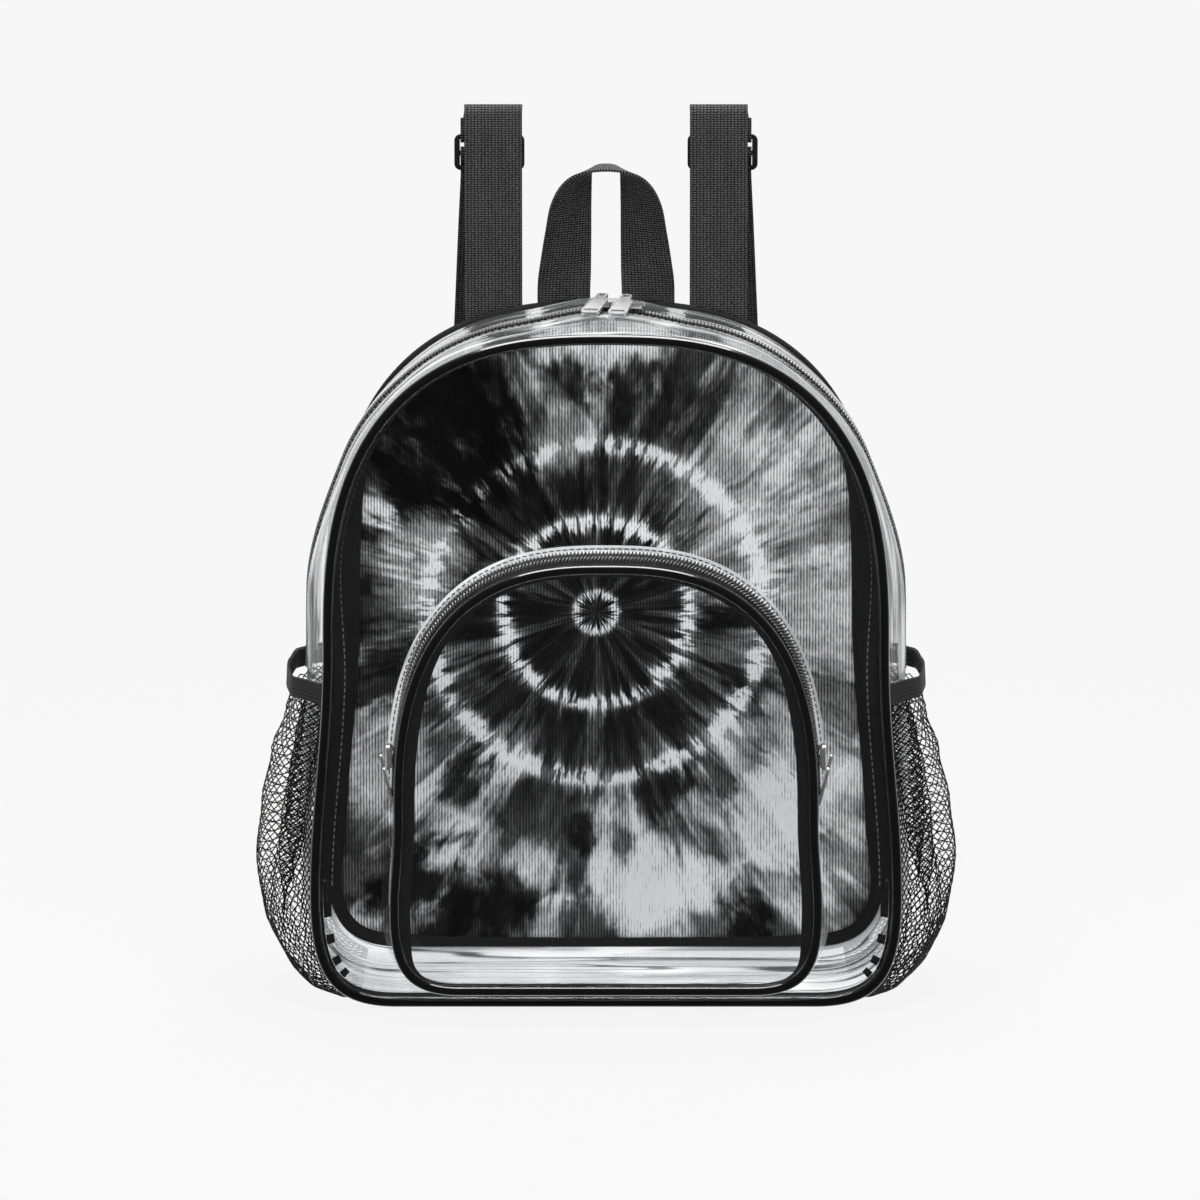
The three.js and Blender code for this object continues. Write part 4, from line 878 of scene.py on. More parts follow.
def elastic():
    f = Finish("elastic")
    u, _ = f.uv_place()
    height = f.wave(u, ELASTIC_PITCH) * 0.5 + f.solid_noise(800.0, 2.0, 0.6) * 0.5
    base = colours().webbing
    # Lighter where the ribs stand higher: a painted highlight; the noise makes it uneven.
    return f.surface({"Base Color": f.blend(height, [k * 0.5 for k in base], [k * 1.9 for k in base]),
                      "Roughness": 0.66, "Specular IOR Level": 0.2,
                      "Normal": f.bump(height, 0.5, 0.0003)})


def net_cord():
    f = Finish("net_mesh")
    twist = f.solid_noise(1500.0)
    base = colours().net
    return f.surface({"Base Color": f.blend(twist, base, [k * 3 for k in base]), "Roughness": 0.5,
                      "Specular IOR Level": 0.2, "Normal": f.bump(twist, 0.3, 0.0002)})


def zipper_coil():
    f = Finish("zipper_coil")
    grain = f.solid_noise(600.0)
    # A grey paler than the black coil, standing in for its glints: a painted highlight, made uneven by
    # the grain noise.
    return f.surface({"Base Color": f.blend(grain, (0.03, 0.03, 0.03), (0.11, 0.11, 0.11)),
                      "Roughness": grain * 0.12 + 0.2, "Coat Weight": 1.0, "Coat Roughness": 0.12,
                      "Normal": f.bump(grain, 0.15, 0.0002)})


def bright_metal():
    f = Finish("zipper_metal")
    mottled, cast = f.solid_noise(420.0, 4.0, 0.65), f.solid_noise(160.0)
    return f.surface({"Base Color": f.blend(mottled, (0.4, 0.4, 0.4), (0.7, 0.7, 0.7)),
                      "Metallic": 0.75, "Roughness": mottled * 0.14 + 0.14,
                      "Normal": f.bump(cast + mottled * 0.3, 0.2, 0.0005)})


def moulded_plastic():
    f = Finish("buckle_plastic")
    grain, flow = f.solid_noise(1100.0, 3.0, 0.6), f.solid_noise(90.0)
    return f.surface({"Base Color": f.blend(flow, (0.008, 0.008, 0.008), (0.018, 0.018, 0.018)),
                      "Roughness": flow * 0.15 + 0.3, "Normal": f.bump(grain, 0.25, 0.0003)})


def sewing_thread(name, shade):
    f = Finish(name)
    twist = f.solid_noise(1300.0)
    base = [k * shade for k in colours().thread]
    return f.surface({"Base Color": f.blend(twist, [k * 0.7 for k in base], base), "Roughness": 0.45,
                      "Normal": f.bump(twist, 0.3, 0.0002)})


MAKERS = {
    "vinyl": lambda: clear_vinyl("clear_vinyl", dent=1.2),
    # The strips, the base, the foot and the hem strip carry painted highlights and painted dark
    # reflection lines on their creases; the hem strip is milky white all over, a painted reflection.
    "vinyl_strip": lambda: clear_vinyl(
        "clear_vinyl_strip", dent=0.8, streak=1.9, painted_highlight=0.06, across=70.0, painted_dark_line=0.85),
    # The base and the foot glow: a painted glow on their milky white.
    "vinyl_base": lambda: clear_vinyl(
        "clear_vinyl_base", dent=0.8, streak=2.2, painted_highlight=0.7, across=38.0, painted_dark_line=0.9,
        fade=(0.012, 0.036), glow=0.45),
    "vinyl_foot": lambda: clear_vinyl(
        "clear_vinyl_foot", dent=0.8, streak=2.2, painted_highlight=0.7, across=45.0, painted_dark_line=0.9,
        fade=(0.026, 0.045), glow=0.45),
    "vinyl_lit": lambda: clear_vinyl(
        "clear_vinyl_lit", dent=0.8, streak=1.5, painted_highlight=1.4, across=85.0, painted_dark_line=0.3, least=0.9),
    "print": printed_cloth,
    "piping": glossy_piping,
    "binding": lambda: woven_tape("black_binding", shade=1.0, pitch=0.0012),
    "tape": lambda: woven_tape("zipper_tape", shade=0.8, pitch=0.0009),
    "webbing": webbing,
    "elastic": elastic,
    "net": net_cord,
    "coil": zipper_coil,
    "metal": bright_metal,
    "plastic": moulded_plastic,
    "thread": lambda: sewing_thread("light_thread", 1.0),
    "black_thread": lambda: sewing_thread("black_thread", 0.05),
}


# Strips and rings of the pack

GUSSET_STEPS = 420


def gusset_sheet(name, start, end, y_low, y_high, columns, thickness, surface, slot,
                 lift=0.0, seed=3, ripple_height=None, **more):
    """A rippled strip of the gusset between two places on the outline and two depths."""
    s = np.linspace(start, end, GUSSET_STEPS)[:, None]
    y = np.linspace(y_low, y_high, columns)[None, :]
    height = sizes().vinyl_ripple / MM if ripple_height is None else ripple_height
    inner = np.sin(math.pi * (y - y_low) / (y_high - y_low)) ** 0.7
    wave = height * ripple(s * body_line.length * 0.55, y * 2.4, seed) * inner
    return sheet(name, gusset(s, y, lift + wave), thickness, surface, slot, **more)


def ring_frame(outline, y, steps):
    """Points round an outline in a plane, with the directions out and back."""
    s = np.linspace(0, 2, steps, endpoint=False)
    x, z, nx, nz = outline.at(s)
    zero = np.zeros(steps)
    return (np.stack([x, np.full(steps, y), z], 1), np.stack([nx, zero, nz], 1),
            np.tile([0.0, 1.0, 0.0], (steps, 1)))


def bead_section(radius, sides=22):
    turn = np.linspace(0, 2 * math.pi, sides, endpoint=False)
    return [(radius * math.cos(a), radius * math.sin(a)) for a in turn]


def beside(outline, s, out, y):
    """A grid of points at distances out from an outline and at depths."""
    x, z, nx, nz = (part[:, None] for part in outline.at(s))
    return np.stack(np.broadcast_arrays(x + nx * out, y, z + nz * out), -1)


def flange_grid(outline, y, radius, width, s, columns=6, turns=((0, 1), (150, 150))):
    """A strip that runs in from a bead, at an angle looked up from the place on the outline."""
    reach = np.linspace(radius * 0.75, radius + width, columns)[None, :]
    angle = np.radians(look_up(np.array(turns[0]), np.array(turns[1]), half_share(s)))[:, None]
    return beside(outline, s, reach * np.cos(angle), y + reach * np.sin(angle))


def coil(name, point_at, share_from, share_to, length, **more):
    """A zipper's two rows of slanted teeth along a gusset."""
    count = int(length * MM / sizes().coil_pitch)
    s = np.linspace(share_from, share_to, count)
    step = (share_to - share_from) / count
    rows = []
    for side in (-1, 1):
        places = point_at(s, side * 1.25)
        ahead = unit(point_at(s + step, side * 1.25) - point_at(s - step, side * 1.25))
        across = unit(point_at(s, 1.0) - point_at(s, -1.0))
        normal = unit(np.cross(ahead, across))
        normal *= np.sign((normal * (places - [0, ZIPPER_Y, 150])).sum(1, keepdims=True))
        tooth = unit(across + ahead * 0.55)
        rows.append((places, tooth, unit(np.cross(normal, tooth)), normal))
    spots, xs, ys, zs = join_rows(rows)
    return scatter(name, rod(3.3, 0.54, 6, 2.0), spots, xs, ys, zs, finish("coil"), "zipper_coil", **more)


class BACKPACK_OT_body(bpy.types.Operator):
    """Front and back panels and the clear gusset round the pack"""
    bl_idname = "backpack.body"
    bl_label = "Panels and gusset"

    def execute(self, context):
        thick = sizes().vinyl_thickness / MM
        panel("front_window", body_line, SEAM_GAP, FRONT_Y, FRONT_CROWN, thick, finish("vinyl"),
              "clear_vinyl", bump=0.8, seed=11, replaces=["front_panel"])
        cloth = panel("printed_back", body_line, SEAM_GAP, BACK_Y, 0, sizes().cloth_thickness / MM,
                      finish("print"), "printed_cloth", rings=20, replaces=["back_panel"])
        front, back = FRONT_Y + SEAM_GAP, BACK_Y - SEAM_GAP
        for name, low, high, seed in (("front", front, ZIPPER_Y - 5.2, 5),
                                      ("back", ZIPPER_Y + 9.5, back, 6)):
            gusset_sheet(f"gusset_{name}_strip", *ZIPPER_ENDS, low, high, 22, thick,
                         finish("vinyl_strip"), "clear_vinyl", seed=seed, replaces=["gusset_" + name])
        gusset_sheet("gusset_lower_strip", -ZIPPER_SHARE, ZIPPER_SHARE, front, back, 40, thick,
                     finish("vinyl_base"), "clear_vinyl", seed=8, ripple_height=0.45,
                     replaces=["gusset_lower"])
        return {"FINISHED"}


# The angle of the seams' folds in degrees, by the place on the outline
FOLD = ((0, 0.27, 0.33, 0.52, 0.66, 1), (98, 98, 150, 152, 116, 104))
POCKET_FOLD = ((0, 0.24, 0.34, 0.6, 0.75, 1), (98, 98, 148, 150, 128, 120))
# Width of the back binding inside the pack, by the place on the outline, in millimetres
BINDING_LIP = ((0, 0.14, 0.2, 0.27, 0.36, 0.6, 0.75, 1), (4.3, 4.6, 6.2, 6.2, 10.5, 11, 7, 6.5))
# The back binding's section, out and back from the seam
BINDING_WRAP = ((2.4, 0), (2.1, 1.2), (1.2, 2.0), (-0.4, 2.2), (-6.2, 2.0), (-6.6, 1.6), (-6.2, 1.25),
                (0.1, 1.2), (0.6, 0), (0.1, -1.2), (-3.2, -1.25), (-3.6, -1.6), (-3.2, -2.0),
                (-0.4, -2.2), (1.2, -2.0), (2.1, -1.2))
# Heights between which the front seam's cut tabs show in the lower corners
SEAM_TABS = ((38.6, 55.5), (25.5, 30), (14.5, 18.5), (8, 11))
SEAM_FOOT_SHARE = 0.26
SEAM_SIDE_HEIGHT = 57


class BACKPACK_OT_piping(bpy.types.Operator):
    """Glossy piping on the front seam and tape binding on the back seam"""
    bl_idname = "backpack.piping"
    bl_label = "Piping and binding"

    def execute(self, context):
        sweep("front_piping_bead", *ring_frame(body_line, FRONT_Y, 420), bead_section(PIPING_RADIUS),
              finish("piping"), "black_piping", replaces=["front_piping"])
        foot, side_start = SEAM_FOOT_SHARE, body_line.share_at_height(SEAM_SIDE_HEIGHT)
        for name, start, end, steps in (("", side_start, 2 - side_start, 400),
                                        ("_base", -foot, foot, 160)):
            self.seam("front_seam_allowance" + name, 8, np.linspace(start, end, steps), 6, FOLD)
        for side, name in ((1, "right"), (-1, "left")):
            self.seam("front_seam_corner_" + name, 1.2, np.linspace(foot, side_start, 60) * side, 3)
            for k, heights in enumerate(SEAM_TABS):
                ends = [body_line.share_at_height(h) * side for h in heights]
                self.seam(f"front_seam_tab_{name}_{k + 1}", 5.5, np.linspace(*ends, 12), skip=2)
        sweep("back_binding_tape", *ring_frame(body_line, BACK_Y, 420), BINDING_WRAP, finish("binding"),
              "black_binding", replaces=["back_binding"])
        s = np.linspace(0, 2, 420, endpoint=False)
        lip = look_up(np.array(BINDING_LIP[0]), np.array(BINDING_LIP[1]), half_share(s))[:, None]
        out = -mix(2.6, lip, np.linspace(0, 1, 7)[None, :])
        y = BACK_Y - 1.85 + 0.2 * np.sin(np.linspace(0, math.pi, 7))[None, :]
        sheet("back_binding_lip", beside(body_line, s, out, y), 0.8, finish("binding"), "black_binding",
              ring=True)
        return {"FINISHED"}

    def seam(self, name, width, s, columns=6, turns=((0, 1), (150, 150)), skip=0):
        """A strip of the front seam's allowance, without the first columns of its grid."""
        grid = flange_grid(body_line, FRONT_Y, PIPING_RADIUS, width, s, columns, turns)
        sheet(name, grid[:, skip:], 0.9, finish("binding"), "black_binding")


class BACKPACK_OT_main_zipper(bpy.types.Operator):
    """Tapes and coil of the main zipper"""
    bl_idname = "backpack.main_zipper"
    bl_label = "Main zipper"

    def execute(self, context):
        for name, low, high in (("front", ZIPPER_Y - TAPE_WIDTH, ZIPPER_Y - 0.3),
                                ("back", ZIPPER_Y + 0.3, ZIPPER_Y + TAPE_WIDTH)):
            gusset_sheet("main_tape_" + name, *ZIPPER_ENDS, low, high, 8, 0.7, finish("tape"),
                         "zipper_tape", lift=-0.7, ripple_height=0.0, replaces=["zipper_tape_" + name])

        def point_at(s, off):
            return gusset(s, ZIPPER_Y + off, 1.0)
        length = (ZIPPER_ENDS[1] - ZIPPER_ENDS[0]) * body_line.length
        coil("main_coil", point_at, *ZIPPER_ENDS, length, replaces=["zipper_chain"])
        return {"FINISHED"}


class BACKPACK_OT_front_pocket(bpy.types.Operator):
    """Clear front pocket with its piping and zipper"""
    bl_idname = "backpack.front_pocket"
    bl_label = "Front pocket"

    def execute(self, context):
        thick = sizes().vinyl_thickness / MM
        panel("pocket_window", pocket_line, 2.5, POCKET_Y, 3, thick, finish("vinyl"), "clear_vinyl",
              bump=0.6, seed=21, rings=20, steps=240, replaces=["pocket_front"])
        sweep("pocket_piping_bead", *ring_frame(pocket_line, POCKET_Y, 340),
              bead_section(POCKET_PIPING_RADIUS), finish("piping"), "black_piping",
              replaces=["pocket_piping"])
        s = np.linspace(0, 2, 340, endpoint=False)
        flange = flange_grid(pocket_line, POCKET_Y, POCKET_PIPING_RADIUS, 6, s, 6, POCKET_FOLD)
        sheet("pocket_seam_allowance", flange, 0.8, finish("binding"), "black_binding", ring=True)
        share = POCKET_ZIPPER_SHARE
        seam = POCKET_DEPTH - 2.8
        upper = np.linspace(*POCKET_ZIPPER_ENDS, 300)[:, None]
        lower = np.linspace(-share, share, 300)[:, None]

        def strip(name, s, low, high, columns, thickness, surface, slot,
                  lift=0.0, wave=0.0, seed=1, **more):
            away = np.linspace(low, high, columns)[None, :]
            inner = np.clip(away / 4, 0, 1) * np.clip((high - away) / 4, 0, 1)
            bump = wave * ripple(s * pocket_line.length * 1.5, away * 2, seed) * inner
            return sheet(name, pocket_gusset(s, away, lift + bump), thickness, surface, slot, **more)
        strip("pocket_gusset_top", upper, -3.5, POCKET_ZIPPER - 4, 14, thick, finish("vinyl_lit"),
              "clear_vinyl", wave=0.5, seed=31, replaces=["pocket_gusset_upper"])
        strip("pocket_gusset_foot", lower, -3.5, seam, 30, thick, finish("vinyl_foot"),
              "clear_vinyl", wave=0.8, seed=32, replaces=["pocket_gusset_lower"])
        strip("pocket_tape_rear", upper, POCKET_ZIPPER - 6, POCKET_ZIPPER - 0.3, 5, 0.6, finish("tape"),
              "zipper_tape", lift=-0.65, replaces=["pocket_tape_back"])
        strip("pocket_tape_fore", upper, POCKET_ZIPPER + 0.3, seam, 8, 0.6, finish("tape"), "zipper_tape",
              replaces=["pocket_tape_front"])

        def point_at(s, off):
            return pocket_gusset(s, np.full_like(s, POCKET_ZIPPER + off), 0.9)
        coil("pocket_coil", point_at, *POCKET_ZIPPER_ENDS, (2 - 2 * share) * pocket_line.length,
             replaces=["pocket_chain"])
        return {"FINISHED"}


class BACKPACK_OT_side_pockets(bpy.types.Operator):
    """Net side pockets and their elastic bands"""
    bl_idname = "backpack.side_pockets"
    bl_label = "Side pockets"

    def execute(self, context):
        columns, rows = sizes().net_columns, sizes().net_rows
        deep = sizes().net_fold / MM
        for side, name in ((1, "right"), (-1, "left")):
            rng = np.random.default_rng(40 + side)
            jitter = rng.normal(0, 0.045, (rows + 2, columns + 2, 2))

            def node(r, c, off):
                wobble = jitter[np.clip(r, 0, rows), np.clip(c, 0, columns)]
                across = np.clip((c + 0.5 * (r % 2) + wobble[..., 0]) / columns, 0, 1)
                up = np.clip((r + off + wobble[..., 1]) / rows, 0, 1)
                wide = np.sin(2 * math.pi * (across * 5.5 + 0.35 * np.sin(up * 5 + side)))
                narrow = np.sin(2 * math.pi * (across * 11 - up * 1.3 + 0.2))
                folds = wide * 0.6 + narrow * 0.4
                gather = smooth(across / 0.12) * smooth((1 - across) / 0.12) * smooth(up / 0.12)
                pleated = smooth((up - 0.18) / 0.4)
                deepening = 0.45 + 0.55 * smooth((up - 0.45) / 0.5)
                lift = -deep * (0.5 + 0.5 * folds) * gather * deepening
                lift = lift - look_up(PLEAT_ACROSS, PLEAT_DROP, across) * pleated
                place = look_up(PLEAT_ACROSS, PLEAT_PLACE, across)
                return net_point(up, mix(across, place, pleated), lift)
            r, c = np.meshgrid(np.arange(rows), np.arange(columns), indexing="ij")
            r, c = r.ravel(), c.ravel()
            starts, ends = [], []
            for shift in (0, 1):
                to = np.where(r % 2 == 1, c + shift, c - 1 + shift)
                keep = (to >= 0) & (to <= columns - 1)
                starts.append(node(r[keep], c[keep], 0.06))
                ends.append(node(r[keep] + 1, to[keep], -0.06))
            starts.append(node(r, c, -0.09))
            ends.append(node(r, c, 0.09))
            even_run, none, all_way = np.linspace(0, 1, 61), np.zeros(61), np.ones(61)
            for up, across in ((even_run, none), (even_run, all_way), (none, even_run)):
                path = net_point(up, across)
                starts.append(path[:-1])
                ends.append(path[1:])
            starts, ends = np.concatenate(starts), np.concatenate(ends)
            keep = np.linalg.norm(ends - starts, axis=1) > 0.2
            starts, ends = starts[keep] * [side, 1, 1], ends[keep] * [side, 1, 1]
            struts("net_" + name, starts, ends, sizes().net_cord / MM, finish("net"), "net_mesh",
                   replaces=["net_pocket_" + name])
            sheet("elastic_" + name, self.band(side), 1.3, finish("elastic"), "elastic",
                  replaces=["elastic_band_" + name])
        return {"FINISHED"}

    def band(self, side):
        """The ribbed band at the top of a net pocket."""
        rise = np.linspace(0, 1, 41)[:, None]
        across = np.linspace(0, 1, 140)[None, :]
        y, arch = net_depth(across)
        s0 = body_line.share_at_height(NET_TOP + 0.9)
        s1 = body_line.share_at_height(NET_TOP + BAND_WIDTH)
        ribs = 0.34 * np.abs(np.sin(rise * math.pi * 5)) ** 0.7
        points = gusset(mix(s0, s1, rise), y, 1.5 + ribs)
        points[..., 0] += NET_REACH * 0.36 * arch
        points[..., 2] += 0.35 * np.sin(across * 40) * arch
        points[..., 0] *= side
        return points


def strap_grid(path, width, columns=9):
    """Webbing across X along a path of points."""
    across = np.linspace(-width / 2, width / 2, columns)
    grid = np.repeat(path[:, None], columns, 1)
    grid[..., 0] += across[None, :]
    return grid


def upper_path():
    """From the seam behind the arch up over the fold and round the buckle's upper bar."""
    top = body_line.at(np.array([body_line.share_at_height(HEIGHT * 0.97)]))[1][0]
    foot, turn, x = top - 34, 1.95, STRAP_X
    y0, by, bz, bx = OVER_BINDING_Y, BUCKLE_Y, UPPER_BAR_Z, BUCKLE_X
    return smooth_path([
        (x, SEWN_BACK_Y, foot), (x, SEWN_BACK_Y, foot + 17), (x, y0, top - 5), (x, y0 + 0.3, top + 5),
        (x, y0 + 1.7, mix(top, STRAP_TOP, 0.6)), (x, y0 + 3, STRAP_TOP - 8.5),
        (x, y0 + 4.25, STRAP_TOP - 2.2), (x, y0 + 6.8, STRAP_TOP - 0.55), (x, by - 1.6, STRAP_TOP - 3),
        (mix(x, bx, 0.5), by - 1, mix(STRAP_TOP, bz, 0.55)), (bx, by - turn, bz + 0.6),
        (bx, by - 0.85 * turn, bz - 0.85 * turn), (bx, by, bz - 1.25 * turn),
        (bx, by + 0.85 * turn, bz - 0.85 * turn), (bx, by + turn, bz + 0.6), (bx, by + 1.2, bz + 4),
        (bx, by + 1, bz + 8.5),
    ])


def rear_strand(share):
    bow = float(look_up(STRAND_HEIGHT, STRAND_BOW, share))
    return mix(STRAP_FOOT_X, BUCKLE_X, share), OVER_BINDING_Y + 41 * bow, share * LOWER_BAR_Z


def lower_path():
    """From the foot of the back up to the buckle, over its middle bar and down as a free tail."""
    x, by, lz, mz, under, off = BUCKLE_X, BUCKLE_Y, LOWER_BAR_Z, MIDDLE_BAR_Z, 2.25, 2.2
    end, beside = rear_strand((lz - 38) / lz), rear_strand(0.93)
    return smooth_path([
        (STRAP_FOOT_X, OVER_BINDING_Y, 1.25), (STRAP_FOOT_X, OVER_BINDING_Y, 7.5),
        *[rear_strand(h) for h in STRAND_HEIGHT],
        (x, by + under, lz - 2.4), (x, by + under, lz + 0.5), (x, by, mix(lz, mz, 0.5)),
        (x, by - under, mz - 0.5), (x, by - 0.85 * under, mz + 1.7), (x, by, mz + 2.6),
        (x, by + 0.8 * under, mz + 2.1), (x, by + under + off * 0.75, mz - 0.6),
        (x, by + under + off * 1.1, lz - 2), (beside[0], beside[1] + 1.3 * off, beside[2]),
        (end[0], end[1] + 1.5 * off, end[2]),
    ], 700)


class BACKPACK_OT_straps(bpy.types.Operator):
    """Shoulder straps of webbing"""
    bl_idname = "backpack.straps"
    bl_label = "Shoulder straps"

    def execute(self, context):
        thick = sizes().webbing_thickness / MM
        for side, name in ((1, "right"), (-1, "left")):
            for part, path in (("upper", upper_path()), ("lower", lower_path())):
                grid = strap_grid(path * [side, 1, 1], STRAP_WIDTH)
                sheet(f"strap_{part}_webbing_{name}", grid, thick, finish("webbing"), "webbing",
                      replaces=[f"strap_{part}_{name}"])
        return {"FINISHED"}


# The handle's right side: share of its rise, share of its half width, and twist in degrees
HANDLE_KNOTS = ((0.12, 1, 2), (0.3, 0.96, 18), (0.52, 0.9, 31), (0.74, 0.83, 42), (0.88, 0.71, 56),
                (0.955, 0.56, 70), (0.99, 0.31, 83))
# How far a degree of twist counts, in millimetres, when the knots are spaced along the curve
HANDLE_TWIST_WEIGHT = 0.3


class BACKPACK_OT_handle(bpy.types.Operator):
    """Grab handle, whose webbing twists so that its crest lies level"""
    bl_idname = "backpack.handle"
    bl_label = "Grab handle"

    def execute(self, context):
        y = OVER_BINDING_Y
        legs = [(HANDLE_X, SEWN_BACK_Y, HEIGHT - 24, 0), (HANDLE_X, SEWN_BACK_Y, HEIGHT - 12, 0),
                (HANDLE_X, y, HEIGHT - 5, 0)]
        for rise, centre, twist in HANDLE_KNOTS:
            legs.append((HANDLE_X * centre, y + 0.4, HEIGHT + HANDLE_RISE * rise, twist))
        crest = [(0, y + 0.4, HEIGHT + HANDLE_RISE, 90)]
        far = [(-x, yy, z, 180 - twist) for x, yy, z, twist in reversed(legs)]
        knots = np.array(legs + crest + far, float)
        knots[:, 3] *= HANDLE_TWIST_WEIGHT
        path = smooth_path(knots, 260)
        turn = np.radians(path[:, 3] / HANDLE_TWIST_WEIGHT)
        outer = np.stack([np.cos(turn), -np.sin(turn), np.zeros(len(turn))], 1)
        across = np.linspace(-HANDLE_WIDTH / 2, HANDLE_WIDTH / 2, 13)
        grid = path[:, None, :3] + outer[:, None] * across[None, :, None]
        sheet("grab_handle_webbing", grid, sizes().webbing_thickness / MM, finish("webbing"), "webbing",
              replaces=["grab_handle"])
        return {"FINISHED"}


# Hard pieces

def start_cube(name, location, size):
    """A box of that size in millimetres about a place."""
    bpy.ops.object.select_all(action="DESELECT")
    bpy.ops.mesh.primitive_cube_add(
        size=1, location=[v * MM for v in location], scale=[v * MM for v in size])
    piece = bpy.context.active_object
    piece.name = name
    bpy.ops.object.transform_apply(location=True, rotation=True, scale=True)
    return piece


def round_edges(piece, width, segments, test):
    """Rounds the edges whose direction and middle pass a test."""
    bpy.ops.object.mode_set(mode="EDIT")
    bpy.ops.mesh.select_mode(type="EDGE")
    bpy.ops.mesh.select_all(action="DESELECT")
    bpy.ops.object.mode_set(mode="OBJECT")
    mesh = piece.data
    for edge in mesh.edges:
        a, b = (mesh.vertices[i].co for i in edge.vertices)
        edge.select = bool(test((b - a).normalized(), (a + b) / 2 / MM))
    bpy.ops.object.mode_set(mode="EDIT")
    bpy.ops.mesh.bevel(offset=width * MM, segments=segments, affect="EDGES")
    bpy.ops.object.mode_set(mode="OBJECT")


def combine(operation, piece, other):
    """Joins another solid to a piece (UNION) or cuts it out (DIFFERENCE), and removes it."""
    bpy.context.view_layer.objects.active = piece
    modifier = piece.modifiers.new("combine", "BOOLEAN")
    modifier.operation = operation
    modifier.solver = "EXACT"
    modifier.object = other
    bpy.ops.object.modifier_apply(modifier=modifier.name)
    bpy.data.objects.remove(other, do_unlink=True)


SHARP_ANGLE = 35


def soften(piece, width, segments=3):
    """Rounds every sharp edge of a piece."""
    select_only(piece)
    modifier = piece.modifiers.new("soften", "BEVEL")
    modifier.width = width * MM
    modifier.segments = segments
    modifier.limit_method = "ANGLE"
    modifier.angle_limit = math.radians(SHARP_ANGLE)
    bpy.ops.object.modifier_apply(modifier=modifier.name)


def seat(piece, matrix):
    """Moves a piece that was made about the origin to its place, leaving the object unturned."""
    piece.data.transform(matrix)
    piece.data.update()


def shifted(point):
    return Vector((np.array(point, float) + SHIFT) * MM)


class BACKPACK_OT_buckles(bpy.types.Operator):
    """Slide buckles on the shoulder straps"""
    bl_idname = "backpack.buckles"
    bl_label = "Slide buckles"

    def execute(self, context):
        wide, tall, thick = STRAP_WIDTH + 5.8, 16.8, 2.4
        slots = ((3.4, 5.6), (-3.9, 4.6))
        for side, name in ((1, "right"), (-1, "left")):
            piece = start_cube("slide_buckle_" + name, (0, 0, 0), (wide, thick, tall))
            round_edges(piece, 3, 6, lambda way, mid: abs(way.y) > 0.9)
            for middle, height in slots:
                slot = start_cube("slot", (0, 0, middle), (STRAP_WIDTH + 0.6, 8, height))
                combine("DIFFERENCE", piece, slot)
            for z in (tall / 2 - 1, -tall / 2 + 1):
                ridge = start_cube("ridge", (0, 0, z), (wide - 7, thick + 1.0, 1.2))
                combine("UNION", piece, ridge)
            soften(piece, 0.45)
            seat(piece, Matrix.Translation(shifted((side * BUCKLE_X, BUCKLE_Y, BUCKLE_Z))))
            finished(piece, finish("plastic"), replaces=["strap_buckle_" + name])
        return {"FINISHED"}


def slider_frame(joint):
    """A matrix for a slider: X along its pull's hinge, -Y the way its pull lies and Z off the zipper."""
    pos, axis = Vector(joint["pos_m"]), -Vector(joint["axis"]).normalized()
    if abs(axis.x) > 0.5:
        normal = axis.cross(Vector((0, 1, 0))).normalized()
    else:
        normal = Vector((math.copysign(1, pos.x), 0, 0))
    up = normal.cross(axis).normalized()
    rows = Matrix((axis, up, normal)).transposed()
    return Matrix.Translation(pos) @ rows.to_4x4()


